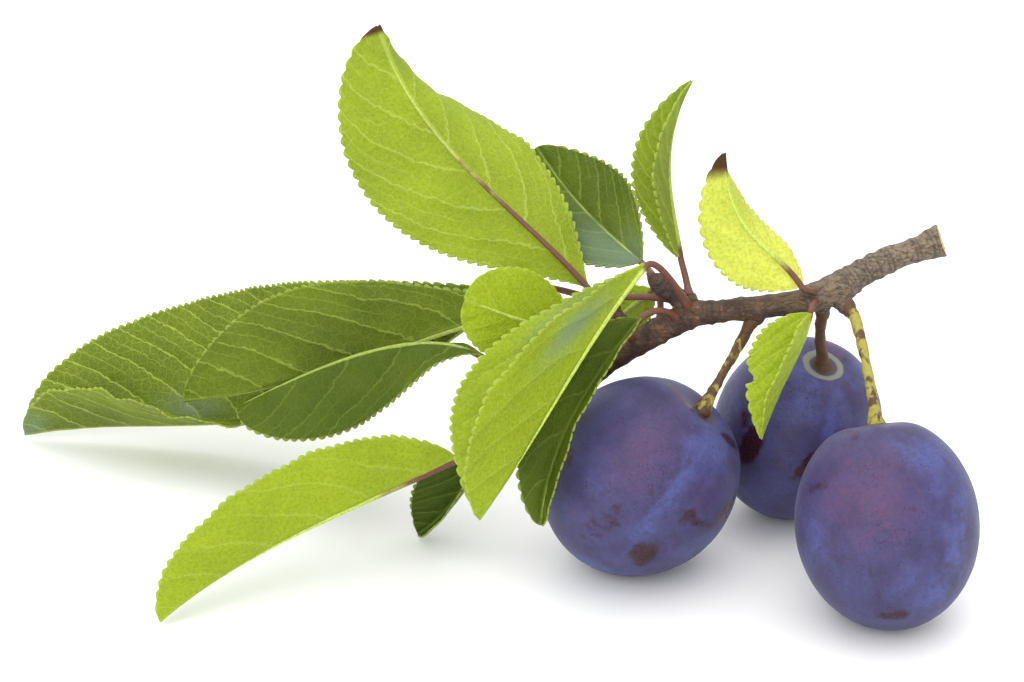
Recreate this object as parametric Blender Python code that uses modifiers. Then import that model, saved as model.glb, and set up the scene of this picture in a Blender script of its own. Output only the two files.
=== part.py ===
"""A cut sprig of a plum tree: three blue plums, their stalks, one twig and fourteen leaves.

The sprig lies on a flat surface at z = 0. It rests on the three plums, and three leaf tips
come down to the surface. Lengths in the tables are millimetres, measured from a point on the
surface below the fork of the twig, with +X to the cut end and +Z up. ORIGIN moves the whole
sprig so that the world origin is under its middle.
"""

import math

import bmesh
import bpy
import numpy as np
from mathutils import Matrix, Vector

MM = 0.001
ORIGIN = (-9.108, -14.714)

# General sizes, in millimetres
CUT_GAP = 0.3
REST_DEPTH = 0.3
BLADE_THICKNESS = 0.6
MIDRIB_THICKNESS = 1.1
TOOTH_HEIGHT = 0.9
PETIOLE_RADIUS = 0.8
PETIOLE_IN_BLADE = ((0.0, 0.8), (0.04, 0.7), (0.09, 0.45))
BLADE_END_WIDTH = 1.1
MERGE_DISTANCE = 0.02
CAVITY_DEPTH = 2.4
CAVITY_ANGLE = 0.33
SUTURE_DEPTH = 0.3
SUTURE_ANGLE = 0.14

# Colour and roughness of each material
FINISHES = {
    "plum_skin": ((0.07, 0.06, 0.19), 0.45),
    "bark": ((0.10, 0.065, 0.04), 0.8),
    "stalk_skin": ((0.22, 0.17, 0.06), 0.6),
    "leaf_green": ((0.16, 0.27, 0.03), 0.5),
}

# Each plum: place on the surface, direction of its stalk end, half length, radius, and turn of
# its suture
PLUMS = {
    "plum_left": ((27.7, -29.4), (0.64, -0.014, 0.767), 22.6, 20.7, 200),
    "plum_back": ((63.4, -6.3), (0.22, -0.32, 0.92), 22.3, 18.6, 270),
    "plum_front": ((78.3, -50.4), (-0.12, 0.42, 0.90), 22.5, 19.2, 90),
}

# Each tube of the twig: points of its middle line with the radius there
TWIG = {
    "stem": [
        (92.1, -10, 68.4, 3.6), (89.5, -11, 67.9, 3.2), (86, -12.5, 67.2, 2.7), (80, -14.5, 65.7, 2.7),
        (73, -17.5, 63.0, 2.9), (69, -19.5, 61.3, 3.5), (64.5, -20.5, 60.0, 3.3), (60, -21, 58.9, 2.6),
        (49, -21, 57.2, 2.4), (42, -20, 56.2, 2.4), (38, -19, 55.0, 2.9), (33, -18, 51.8, 2.7),
        (29.7, -17, 49.1, 2.9), (23.4, -14, 43.4, 2.6), (13.8, -12, 34, 2.0),
    ],
    "spur_bud": [(39, -18.5, 55.5, 2.2), (35, -17, 58.5, 2.1), (32, -16.5, 60.8, 2.2), (28.5, -16, 63.6, 0.5)],
    "spur_side": [(26, -15, 46.5, 2.0), (23.5, -11.5, 50, 1.7), (20.3, -8.5, 54, 1.5)],
    "knob": [(38.5, -19, 56, 1.6), (37.8, -18.5, 59.6, 1.3)],
    "spur_left": [(53, -21, 57.5, 2.2), (51.0, -21.3, 54.6, 1.7)],
    "spur_front": [(68.5, -20.5, 60, 2.2), (71.4, -23, 58.6, 1.7)],
    "spur_back": [(66.5, -20, 60, 2.2), (66.3, -18.5, 56, 1.7)],
}

# Each stalk: points of its middle line with the radius there, and the plum that it holds
STALKS = {
    "stalk_left": ([(51.2, -21.3, 55.2, 1.6), (49.5, -22.3, 51.5, 1.2), (46, -25, 46, 1.05), (42.2, -28.5, 40.5, 1.1),
                    (40.2, -30, 37.0, 1.6)], "plum_left"),
    "stalk_back": ([(66.3, -18.5, 56.6, 1.6), (66.4, -17.3, 53, 1.3), (66.7, -14.3, 47, 1.2), (67.6, -12.6, 42, 1.4),
                    (67.8, -12.2, 38.8, 1.9)], "plum_back"),
    "stalk_front": ([(71.2, -22.8, 58.7, 1.6), (72.6, -26, 57, 1.2), (74, -33, 52, 1.1), (75.4, -41, 44.5, 1.2),
                     (75.8, -43, 41.0, 1.8)], "plum_front"),
}

# Each leaf. stem: the petiole's root in the twig and a point it bends towards. rib: four points
# spread evenly along the midrib, base first. face: where the upper face looks, at base and tip.
# wide: half widths along side a and side b. fold: degrees that each half is raised from flat.
# curl: further degrees that each half turns by its margin. widest: place of the widest part.
# full: how fast the outline widens from the base and narrows to the tip. rows: teeth a side.
LEAVES = {
    "leaf_tall": dict(
        stem=[(35.5, -17.0, 58.0), (24.0, -13.0, 57.0)],
        rib=[(16.5, -8.0, 56.5), (-0.5, 0.0, 71.5), (-17.5, 8.0, 87.5), (-29.0, 16.0, 108.0)],
        face=[(0.1, 0.9, -0.4), (0.1, 0.9, -0.3)],
        wide=((20, 20, 20), (18, 16, 12)), fold=((10, 5, 0), (25, 35, 45)), curl=((0, -10, 20), (0, 20, 60)),
        widest=0.56, full=(0.85, 0.5), rows=22),
    "leaf_dark": dict(
        stem=[(32.5, -16.5, 60.5), (30.0, -11.0, 61.0)],
        rib=[(28.0, -5.0, 61.5), (21.0, 4.0, 64.5), (13.5, 12.5, 69.5), (5.5, 21.0, 78.0)],
        face=[(0.1, -0.9, 0.5)],
        wide=((6, 11, 12), (11,)), fold=((12,), (12,)), curl=((0,), (0,)),
        widest=0.48, full=(0.7, 0.6), rows=14),
    "leaf_folded_up": dict(
        stem=[(37.8, -18.5, 59.0), (37.5, -14.0, 61.5)],
        rib=[(35.5, -12.0, 65.5), (33.5, -9.0, 77.5), (33.5, -6.0, 89.0), (38.0, -2.0, 102.0)],
        face=[(-0.8, -0.6, 0.0)],
        wide=((6, 6.5, 7), (7, 7.5, 7)), fold=((66,), (42,)), curl=((0,), (0,)),
        widest=0.5, full=(0.7, 0.8), rows=14),
    "leaf_hook": dict(
        stem=[(66.0, -21.0, 60.5), (63.5, -23.0, 62.5)],
        rib=[(61.0, -24.0, 64.0), (54.0, -23.0, 71.5), (47.5, -22.0, 79.0), (44.0, -20.0, 92.5)],
        face=[(0.0, 0.9, -0.3)],
        wide=((10,), (5, 6, 8)), fold=((10,), (45, 50, 70)), curl=((0,), (0, 20)),
        widest=0.45, full=(0.6, 0.7), rows=12),
    "leaf_over_plum": dict(
        stem=[(64.5, -21.5, 59.5), (63.5, -27.0, 61.5)],
        rib=[(62.5, -29.0, 60.0), (60.0, -31.0, 51.5), (56.0, -33.5, 43.0), (52.5, -36.0, 34.0)],
        face=[(-0.3, -0.9, 0.2)],
        wide=((9, 9, 8), (8,)), fold=((10,), (100,)), curl=((0,), (0,)),
        widest=0.42, full=(0.6, 0.9), rows=12),
    "leaf_round": dict(
        stem=[(27.0, -16.0, 48.0), (22.0, -20.5, 51.0)],
        rib=[(17.0, -22.0, 52.5), (7.0, -25.0, 55.0), (-2.0, -28.0, 59.5), (-10.0, -30.0, 63.5)],
        face=[(0.0, 0.9, -0.3)],
        wide=((9.5, 9.5, 9), (11, 10.5, 10)), fold=((5,), (5,)), curl=((0,), (0,)),
        widest=0.6, full=(0.7, 0.4), rows=12),
    "leaf_front": dict(
        stem=[(38.0, -19.5, 56.5), (33.0, -24.0, 67.0)],
        rib=[(27.5, -26.0, 70.0), (15.0, -38.0, 56.0), (3.5, -48.0, 39.5), (-7.0, -54.0, 24.5)],
        face=[(-0.78, -0.1, 0.6)],
        wide=((10, 17.5, 20), (12, 17.5, 22)), fold=((62,), (62,)), curl=((0,), (0,)),
        widest=0.55, full=(0.8, 0.8), rows=20),
    "leaf_beside_plum": dict(
        stem=[(36.0, -19.5, 54.0), (31.5, -23.5, 60.0)],
        rib=[(27.0, -25.0, 57.0), (18.0, -35.0, 48.5), (10.0, -41.0, 35.0), (6.0, -45.0, 18.0)],
        face=[(-0.3, -0.8, 0.4), (-0.5, -0.8, 0.2)],
        wide=((10, 10, 9), (6, 6, 8)), fold=((20, 40), (60, 60, 0)), curl=((0,), (0, 0, 60)),
        widest=0.5, full=(0.7, 0.6), rows=16),
    "leaf_long": dict(
        stem=[(20.5, -8.5, 53.0), (10.0, 0.0, 53.0)],
        rib=[(-1.5, 6.0, 49.5), (-44.0, 20.0, 15.0), (-80.0, 28.0, 5.5), (-115.5, 31.0, 1.3)],
        face=[(0.0, -0.3, 0.95)],
        wide=((36, 26, 34), (12, 22, 32)), fold=((45,), (28, 42, 92)), curl=((0,), (0,)),
        widest=0.52, full=(0.8, 0.6), rows=30),
    "leaf_keel": dict(
        stem=[(22.5, -10.5, 51.0), (14.0, -9.5, 54.0)],
        rib=[(6.0, -8.0, 53.0), (-19.5, -1.0, 41.5), (-46.5, 6.0, 28.5), (-75.0, 14.0, 18.5)],
        face=[(0.0, 0.3, 0.95)],
        wide=((15, 17, 17), (14, 19, 20)), fold=((30,), (80,)), curl=((0,), (0,)),
        widest=0.6, full=(0.8, 0.6), rows=24),
    "leaf_shiny": dict(
        stem=[(24.5, -13.5, 45.5), (12.0, -15.0, 45.0)],
        rib=[(-6.0, -16.0, 44.0), (-24.5, -11.0, 44.5), (-45.0, -3.0, 34.0), (-62.0, 6.5, 21.0)],
        face=[(0.0, -0.3, 0.95)],
        wide=((9, 12, 12), (11, 15, 15)), fold=((0, -75, -10), (0, -50, -10)), curl=((0,), (0,)),
        widest=0.6, full=(0.8, 0.6), rows=20),
    "leaf_low": dict(
        stem=[(15.5, -12.5, 35.5), (2.0, -22.0, 33.0)],
        rib=[(-12.0, -30.0, 26.5), (-34.5, -38.0, 19.0), (-55.5, -48.0, 12.0), (-74.0, -56.0, 1.2)],
        face=[(0.0, 0.2, 0.98)],
        wide=((13,), (22, 16, 20)), fold=((30,), (80,)), curl=((0,), (0,)),
        widest=0.5, full=(0.7, 0.7), rows=20),
    "leaf_small": dict(
        stem=[(14.5, -12.0, 34.0), (-2.0, -19.0, 31.0)],
        rib=[(-7.5, -22.0, 24.0), (-10.5, -21.0, 15.0), (-15.5, -19.0, 6.5), (-21.0, -18.0, 1.2)],
        face=[(-0.75, -0.6, 0.4)],
        wide=((9,), (7,)), fold=((45,), (50,)), curl=((0,), (0,)),
        widest=0.5, full=(0.7, 0.6), rows=10),
    "leaf_inner": dict(
        stem=[(31.0, -17.0, 50.5), (33.0, -13.0, 54.5)],
        rib=[(31.0, -9.0, 56.5), (27.0, -5.0, 51.5), (23.5, -1.0, 46.5), (19.5, 3.0, 41.0)],
        face=[(0.0, 0.9, -0.3)],
        wide=((5,), (5,)), fold=((10,), (10,)), curl=((0,), (0,)),
        widest=0.5, full=(0.8, 0.8), rows=10),
}


def world(point):
    """A point of the tables, as metres in the world."""
    return Vector(((point[0] - ORIGIN[0]) * MM, (point[1] - ORIGIN[1]) * MM, point[2] * MM))


def unit(vector):
    vector = np.asarray(vector, float)
    return vector / np.linalg.norm(vector)


def through(values, u):
    """The value at u of the smooth curve through values, which are spread evenly from 0 to 1."""
    values = np.asarray(values, float)
    count = len(values)
    places = [i / (count - 1) for i in range(count)] if count > 1 else [0.0]
    total = 0
    for i in range(count):
        weight = 1.0
        for j in range(count):
            if j != i:
                weight *= (u - places[j]) / (places[i] - places[j])
        total = total + weight * values[i]
    return total


def bezier(points, t):
    """A point of the cubic Bezier curve with the four given control points."""
    a, b, c, d = (np.asarray(p, float) for p in points)
    return (1 - t) ** 3 * a + 3 * (1 - t) ** 2 * t * b + 3 * (1 - t) * t * t * c + t ** 3 * d


def leaf_frame(leaf, u):
    """Midrib point at u, with the directions along the midrib, out of the upper face and to side b."""
    step = 1e-4
    along = unit(through(leaf["rib"], u + step) - through(leaf["rib"], u - step))
    face = through([unit(f) for f in leaf["face"]], u)
    face = unit(face - face.dot(along) * along)
    return through(leaf["rib"], u), along, face, np.cross(face, along)


def half_width(leaf, u, side):
    power = math.log(0.5) / math.log(leaf["widest"])
    fullness = leaf["full"][0] + (leaf["full"][1] - leaf["full"][0]) * u
    shape = max(math.sin(math.pi * min(max(u, 0.0), 1.0) ** power), 0.0) ** fullness
    return max(shape * through(leaf["wide"][side], u), BLADE_END_WIDTH)


def leaf_point(leaf, u, across):
    """A point of the upper face: across is 0 on the midrib, -1 on margin a and 1 on margin b."""
    middle, _, face, side_way = leaf_frame(leaf, u)
    side = 0 if across < 0 else 1
    out = abs(across)
    width = half_width(leaf, u, side)
    fold = math.radians(through(leaf["fold"][side], u))
    curl = math.radians(through(leaf["curl"][side], u)) or 1e-3
    sideways = width / curl * (math.sin(fold + curl * out) - math.sin(fold))
    upwards = width / curl * (math.cos(fold) - math.cos(fold + curl * out))
    return middle + side_way * math.copysign(sideways, across) + face * upwards


def make_material(name):
    colour, roughness = FINISHES[name]
    material = bpy.data.materials.new(name)
    material.use_nodes = True
    shader = material.node_tree.nodes["Principled BSDF"]
    shader.inputs["Base Color"].default_value = (*colour, 1)
    shader.inputs["Roughness"].default_value = roughness
    shader.inputs["Metallic"].default_value = 0
    return material


def make_object(name, mesh, collection, material=None):
    piece = bpy.data.objects.new(name, mesh)
    collection.objects.link(piece)
    if material:
        mesh.materials.append(material)
        mesh.shade_smooth()
        mesh.set_sharp_from_angle(angle=math.radians(40))
    return piece


def make_tube(name, points, collection, sides=12, material=None):
    """A closed round tube as a mesh. points: (x, y, z, radius) in table millimetres."""
    curve = bpy.data.curves.new(name, "CURVE")
    curve.dimensions = "3D"
    curve.bevel_depth = MM
    curve.bevel_resolution = sides // 2 - 2
    curve.use_fill_caps = True
    spline = curve.splines.new("POLY")
    spline.points.add(len(points) - 1)
    for target, point in zip(spline.points, points):
        target.co = (*world(point), 1)
        target.radius = point[3]
    holder = bpy.data.objects.new(name, curve)
    bpy.context.scene.collection.objects.link(holder)
    graph = bpy.context.evaluated_depsgraph_get()
    mesh = bpy.data.meshes.new_from_object(holder.evaluated_get(graph))
    bpy.data.objects.remove(holder)
    bpy.data.curves.remove(curve)
    shell = bmesh.new()
    shell.from_mesh(mesh)
    bmesh.ops.remove_doubles(shell, verts=shell.verts, dist=0.01 * MM)
    bmesh.ops.recalc_face_normals(shell, faces=shell.faces)
    shell.to_mesh(mesh)
    shell.free()
    return make_object(name, mesh, collection, material)


def smooth_route(points, steps):
    """Points with radius, spread more finely along a smooth curve through the given ones."""
    knots = [np.array(p, float) for p in points]
    knots = [2 * knots[0] - knots[1], *knots, 2 * knots[-1] - knots[-2]]
    route = []
    for a, b, c, d in zip(knots, knots[1:], knots[2:], knots[3:]):
        for step in range(steps):
            t = step / steps
            route.append(0.5 * (2 * b + (c - a) * t + (2 * a - 5 * b + 4 * c - d) * t ** 2
                                + (3 * b - 3 * c + d - a) * t ** 3))
    return [tuple(p) for p in route] + [tuple(points[-1])]


def apply_modifiers(piece):
    graph = bpy.context.evaluated_depsgraph_get()
    mesh = bpy.data.meshes.new_from_object(piece.evaluated_get(graph))
    piece.modifiers.clear()
    old = piece.data
    piece.data = mesh
    bpy.data.meshes.remove(old)


def merge_near_points(piece):
    shell = bmesh.new()
    shell.from_mesh(piece.data)
    bmesh.ops.triangulate(shell, faces=shell.faces)
    bmesh.ops.dissolve_degenerate(shell, edges=shell.edges, dist=MERGE_DISTANCE * MM)
    bmesh.ops.triangulate(shell, faces=shell.faces)
    shell.to_mesh(piece.data)
    shell.free()


def boolean(piece, operation, other=None, collection=None):
    """Join to or cut from piece another object, or all objects of a collection."""
    modifier = piece.modifiers.new(operation.lower(), "BOOLEAN")
    modifier.operation = operation
    if collection:
        modifier.operand_type = "COLLECTION"
        modifier.collection = collection
    else:
        modifier.object = other
    apply_modifiers(piece)
    merge_near_points(piece)


def grown(route, grow):
    """The route with its radius larger by grow, and longer by grow at both ends."""
    points = [np.array(point[:3]) for point in route]
    points[0] = points[0] + grow * unit(points[0] - points[1])
    points[-1] = points[-1] + grow * unit(points[-1] - points[-2])
    return [(*point, old[3] + grow) for point, old in zip(points, route)]


def join_tubes(name, tubes, collection, grow=0.0, material=None):
    """One body from several tubes, each a list of (x, y, z, radius), made larger by grow."""
    group = bpy.data.collections.new(name + "_tubes")
    bpy.context.scene.collection.children.link(group)
    pieces = []
    for key, points in tubes.items():
        route = grown(smooth_route(points, 2), grow)
        target = group if pieces else collection
        pieces.append(make_tube(name if not pieces else key, route, target, material=material))
    boolean(pieces[0], "UNION", collection=group)
    for piece in pieces[1:]:
        bpy.data.objects.remove(piece)
    bpy.data.collections.remove(group)
    return pieces[0]


def plum_surface(direction, half_length, radius, suture_turn, grow):
    """Point of a plum's skin for a direction from its middle, with +Z to the stalk end."""
    polar = math.acos(max(-1.0, min(1.0, direction.z)))
    turn = math.atan2(direction.y, direction.x)
    away = (turn - math.radians(suture_turn) + math.pi) % (2 * math.pi) - math.pi
    suture = SUTURE_DEPTH * math.exp(-(away / SUTURE_ANGLE) ** 2) * math.sin(polar)
    cavity = CAVITY_DEPTH * math.exp(-(polar / CAVITY_ANGLE) ** 2)
    across = (radius + grow - suture) * math.sin(polar)
    return Vector((across * math.cos(turn), across * math.sin(turn),
                   (half_length + grow) * direction.z - cavity)) * MM


def plum_height(axis, half_length, radius):
    """Height of a plum's middle when its lowest point is REST_DEPTH below the surface."""
    upright = unit(axis)[2]
    return math.hypot(half_length * upright, radius * math.sqrt(1 - upright ** 2)) - REST_DEPTH


def make_plum(name, collection, grow=0.0, material=None):
    """A plum on the surface, cut flat where it rests, or a larger one as a cutter."""
    place, axis, half_length, radius, suture_turn = PLUMS[name]
    shell = bmesh.new()
    bmesh.ops.create_uvsphere(shell, u_segments=32, v_segments=18, radius=1)
    for vertex in shell.verts:
        vertex.co = plum_surface(vertex.co.normalized(), half_length, radius, suture_turn, grow)
    mesh = bpy.data.meshes.new(name)
    plum = make_object(name, mesh, collection, material)
    plum.location = world((*place, plum_height(axis, half_length, radius)))
    plum.rotation_euler = Vector(axis).to_track_quat("Z", "Y").to_euler()
    inverse = (Matrix.Translation(plum.location) @ plum.rotation_euler.to_matrix().to_4x4()).inverted()
    if not grow:
        surface = inverse @ Vector((0, 0, 0))
        up = (inverse.to_3x3() @ Vector((0, 0, 1))).normalized()
        everything = shell.verts[:] + shell.edges[:] + shell.faces[:]
        cut = bmesh.ops.bisect_plane(shell, geom=everything, plane_co=surface, plane_no=up, clear_inner=True)
        rim = [item for item in cut["geom_cut"] if isinstance(item, bmesh.types.BMEdge)]
        bmesh.ops.edgeloop_fill(shell, edges=rim)
    bmesh.ops.recalc_face_normals(shell, faces=shell.faces)
    shell.to_mesh(mesh)
    shell.free()
    mesh.shade_smooth()
    mesh.set_sharp_from_angle(angle=math.radians(40))
    return plum


def toothed_grid(leaf):
    """Flat grid in (u, across) with a tooth on each margin edge, cut into triangles."""
    rows = leaf["rows"]
    columns = (-1.0, -0.45, 0.0, 0.45, 1.0)
    grid = bmesh.new()
    bmesh.ops.create_grid(grid, x_segments=rows, y_segments=len(columns) - 1, size=0.5)
    for vertex in grid.verts:
        column = round((vertex.co.y + 0.5) * (len(columns) - 1))
        vertex.co = (vertex.co.x + 0.5, columns[column], 0)
    margin = [e for e in grid.edges if all(abs(abs(v.co.y) - 1) < 1e-6 for v in e.verts)
              and 1 < rows * (e.verts[0].co.x + e.verts[1].co.x) / 2 < rows - 1]
    teeth = bmesh.ops.subdivide_edges(grid, edges=margin, cuts=1)
    for vertex in teeth["geom_inner"]:
        if isinstance(vertex, bmesh.types.BMVert):
            side = 0 if vertex.co.y < 0 else 1
            width = half_width(leaf, vertex.co.x, side)
            height = min(TOOTH_HEIGHT, 0.1 * width)
            vertex.co.y *= 1 + height / width
            vertex.co.x += 0.2 / rows
    bmesh.ops.triangulate(grid, faces=grid.faces)
    return grid


def make_leaf(name, collection, material):
    """Blade of one thickness with a thicker midrib, joined to its petiole."""
    leaf = LEAVES[name]
    grid = toothed_grid(leaf)
    on_rib = [abs(vertex.co.y) < 1e-6 for vertex in grid.verts]
    for vertex in grid.verts:
        vertex.co = world(leaf_point(leaf, vertex.co.x, vertex.co.y))
    mesh = bpy.data.meshes.new(name)
    grid.to_mesh(mesh)
    grid.free()
    piece = make_object(name, mesh, collection, material)
    if mesh.polygons[0].normal.dot(Vector(leaf_frame(leaf, 0.0)[2])) < 0:
        mesh.flip_normals()
    rib = piece.vertex_groups.new(name="midrib")
    rib.add([i for i, flag in enumerate(on_rib) if flag], 1.0, "REPLACE")
    solidify = piece.modifiers.new("thickness", "SOLIDIFY")
    solidify.thickness = MIDRIB_THICKNESS * MM
    solidify.vertex_group = "midrib"
    solidify.thickness_vertex_group = BLADE_THICKNESS / MIDRIB_THICKNESS
    solidify.offset = -1
    apply_modifiers(piece)
    petiole = make_tube(name + "_petiole", petiole_route(leaf), collection, sides=8, material=material)
    boolean(piece, "UNION", petiole)
    bpy.data.objects.remove(petiole)
    return piece


def petiole_route(leaf):
    """Points with radius from inside the twig to just inside the blade, behind its midrib."""
    base, along, face, _ = leaf_frame(leaf, 0.0)
    root, bend = leaf["stem"]
    reach = 0.4 * np.linalg.norm(base - np.array(bend))
    behind = base - face * 0.5 * BLADE_THICKNESS
    controls = [root, bend, behind - along * reach, behind]
    route = [(*bezier(controls, step / 10), PETIOLE_RADIUS) for step in range(10)]
    for u, radius in PETIOLE_IN_BLADE:
        middle, _, out, _ = leaf_frame(leaf, u)
        route.append((*(middle - out * 0.5 * BLADE_THICKNESS), radius))
    return route


def hide_cutter(piece):
    piece.hide_render = True
    piece.display_type = "WIRE"


def main():
    for piece in list(bpy.data.objects):
        bpy.data.objects.remove(piece)
    sprig = bpy.data.collections.new("plum_sprig")
    cutters = bpy.data.collections.new("cutters")
    for group in (sprig, cutters):
        bpy.context.scene.collection.children.link(group)
    materials = {name: make_material(name) for name in FINISHES}

    join_tubes("twig", TWIG, sprig, material=materials["bark"])
    twig_cutter = join_tubes("twig_cutter", TWIG, cutters, grow=CUT_GAP)
    hide_cutter(twig_cutter)
    for name in PLUMS:
        make_plum(name, sprig, material=materials["plum_skin"])
    for name, (points, plum) in STALKS.items():
        stalk = make_tube(name, smooth_route(points, 2), sprig, sides=10, material=materials["stalk_skin"])
        plum_cutter = make_plum(plum, cutters, grow=CUT_GAP)
        plum_cutter.name = plum + "_cutter"
        hide_cutter(plum_cutter)
        bpy.context.view_layer.update()
        boolean(stalk, "DIFFERENCE", plum_cutter)
        boolean(stalk, "DIFFERENCE", twig_cutter)
    for name in LEAVES:
        leaf = make_leaf(name, sprig, materials["leaf_green"])
        boolean(leaf, "DIFFERENCE", twig_cutter)


main()
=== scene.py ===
"""Looks of a cut plum sprig: three blue plums with their bloom, stalks, a twig and fourteen leaves.

Lengths in the tables are millimetres, measured from a point on the surface below the fork of the
twig, with +X to the cut end and +Z up. place() turns them into metres of the CAD frame.
"""

import math

import bpy
import numpy as np
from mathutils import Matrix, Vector, noise


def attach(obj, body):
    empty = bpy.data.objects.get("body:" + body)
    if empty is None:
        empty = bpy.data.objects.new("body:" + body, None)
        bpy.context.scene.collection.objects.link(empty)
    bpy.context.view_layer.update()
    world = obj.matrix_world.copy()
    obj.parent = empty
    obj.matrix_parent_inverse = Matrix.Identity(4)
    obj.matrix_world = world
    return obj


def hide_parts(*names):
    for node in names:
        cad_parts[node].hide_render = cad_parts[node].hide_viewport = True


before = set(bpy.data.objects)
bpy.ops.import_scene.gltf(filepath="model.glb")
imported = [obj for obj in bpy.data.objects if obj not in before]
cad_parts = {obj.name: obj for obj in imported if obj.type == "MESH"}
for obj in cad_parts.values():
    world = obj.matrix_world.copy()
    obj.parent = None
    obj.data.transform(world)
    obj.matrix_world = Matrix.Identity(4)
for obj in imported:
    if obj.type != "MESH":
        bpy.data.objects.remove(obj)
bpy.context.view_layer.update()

bl_info = {
    "name": "Plum Sprig",
    "version": (1, 0, 0),
    "blender": (4, 5, 0),
    "location": "View3D > Sidebar > Plum Sprig",
    "description": "Builds three plums on a leafy twig, with their materials and a plain studio",
    "category": "Add Mesh",
}

MM = 0.001
ORIGIN = (-9.108, -14.714, 0.0)

# Each plum: place on the surface, direction of its stalk end, half length, radius, turn of its
# suture, and its marks. A mark is seen from the front: across and up in radii from the middle of
# the plum's outline, then its half width and half height, its turn in degrees and its strength.
PLUMS = {
    "plum_left": dict(
        place=(27.7, -29.4), axis=(0.64, -0.014, 0.767), half_length=22.6, radius=20.7, suture=200, rim=0.35,
        rubbed=[(0.03, -0.76, 0.16, 0.12, 20, 1.1), (-0.38, -0.42, 0.34, 0.13, 38, 0.62),
                (0.02, -0.16, 0.14, 0.07, 50, 0.55), (0.46, -0.38, 0.1, 0.12, -40, 0.75),
                (0.6, -0.46, 0.16, 0.05, -12, 0.9), (0.84, -0.34, 0.05, 0.17, -32, 1.0),
                (0.37, 0.8, 0.2, 0.028, -46, 0.9), (0.62, 0.62, 0.12, 0.03, -30, 0.9),
                (0.86, 0.36, 0.13, 0.04, -48, 1.1), (-0.76, 0.22, 0.04, 0.1, 0, 0.9),
                (0.3, -0.62, 0.2, 0.1, 30, 0.5)],
        blue=[(0.25, -0.13, 0.52, 0.085, 52, 1.0), (0.62, 0.32, 0.32, 0.24, 40, 0.8),
              (-0.5, -0.86, 0.36, 0.07, -24, 1.0), (0.0, -0.5, 0.2, 0.1, 48, 0.8),
              (-0.45, -0.08, 0.2, 0.12, 20, 0.35), (0.6, -0.72, 0.3, 0.12, 36, 0.6)],
        pink=[(0.0, 0.25, 0.5, 0.36, 55, 0.8), (-0.55, -0.2, 0.2, 0.3, 0, 0.4),
              (0.62, -0.12, 0.26, 0.24, 0, 0.5)]),
    "plum_back": dict(
        place=(63.4, -6.3), axis=(0.22, -0.32, 0.92), half_length=22.3, radius=18.6, suture=270, rim=1.2,
        rubbed=[(-0.62, -0.2, 0.1, 0.2, -18, 1.6), (-0.68, 0.12, 0.06, 0.24, -14, 0.8),
                (0.06, -0.36, 0.07, 0.2, -42, 1.5), (0.45, 0.72, 0.07, 0.05, 0, 0.7),
                (-0.75, 0.42, 0.04, 0.16, -10, 0.5)],
        blue=[(0.02, 0.36, 0.14, 0.3, -6, 0.9), (0.42, 0.3, 0.2, 0.4, 4, 0.5),
              (0.26, -0.02, 0.08, 0.3, -4, 0.9), (-0.8, 0.3, 0.12, 0.4, -20, 0.7),
              (0.7, 0.55, 0.16, 0.4, 30, 0.6)],
        pink=[(0.38, 0.84, 0.22, 0.08, -20, 0.9), (-0.3, 0.78, 0.16, 0.12, 0, 0.4)]),
    "plum_front": dict(
        place=(78.3, -50.4), axis=(-0.12, 0.42, 0.90), half_length=22.5, radius=19.2, suture=90, rim=0.2,
        rubbed=[(-0.8, 0.4, 0.09, 0.06, 20, 0.75), (-0.02, -0.85, 0.17, 0.045, 6, 0.95),
                (-0.28, -0.44, 0.03, 0.17, 10, 0.6), (-0.17, -0.68, 0.03, 0.13, 30, 0.7),
                (-0.37, 0.86, 0.07, 0.05, 0, 0.65), (0.0, 0.6, 0.14, 0.08, 20, 0.35),
                (0.17, 0.3, 0.16, 0.14, 0, 0.3), (-0.4, -0.3, 0.16, 0.1, 10, 0.3),
                (0.95, -0.05, 0.05, 0.25, 0, 0.3)],
        blue=[(0.62, -0.16, 0.16, 0.5, -8, 0.9), (0.42, -0.66, 0.22, 0.2, 30, 0.8),
              (0.3, 0.72, 0.34, 0.14, -18, 0.8), (0.4, 0.42, 0.12, 0.2, 30, 0.5),
              (-0.82, -0.2, 0.1, 0.34, 6, 0.6), (0.1, -0.55, 0.3, 0.2, 0, 0.4)],
        pink=[(-0.3, 0.3, 0.5, 0.5, 0, 1.0), (-0.1, 0.66, 0.3, 0.2, 0, 0.8),
              (0.1, 0.0, 0.2, 0.3, 0, 0.4), (0.86, -0.5, 0.1, 0.3, 30, 0.5)]),
}

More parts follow.
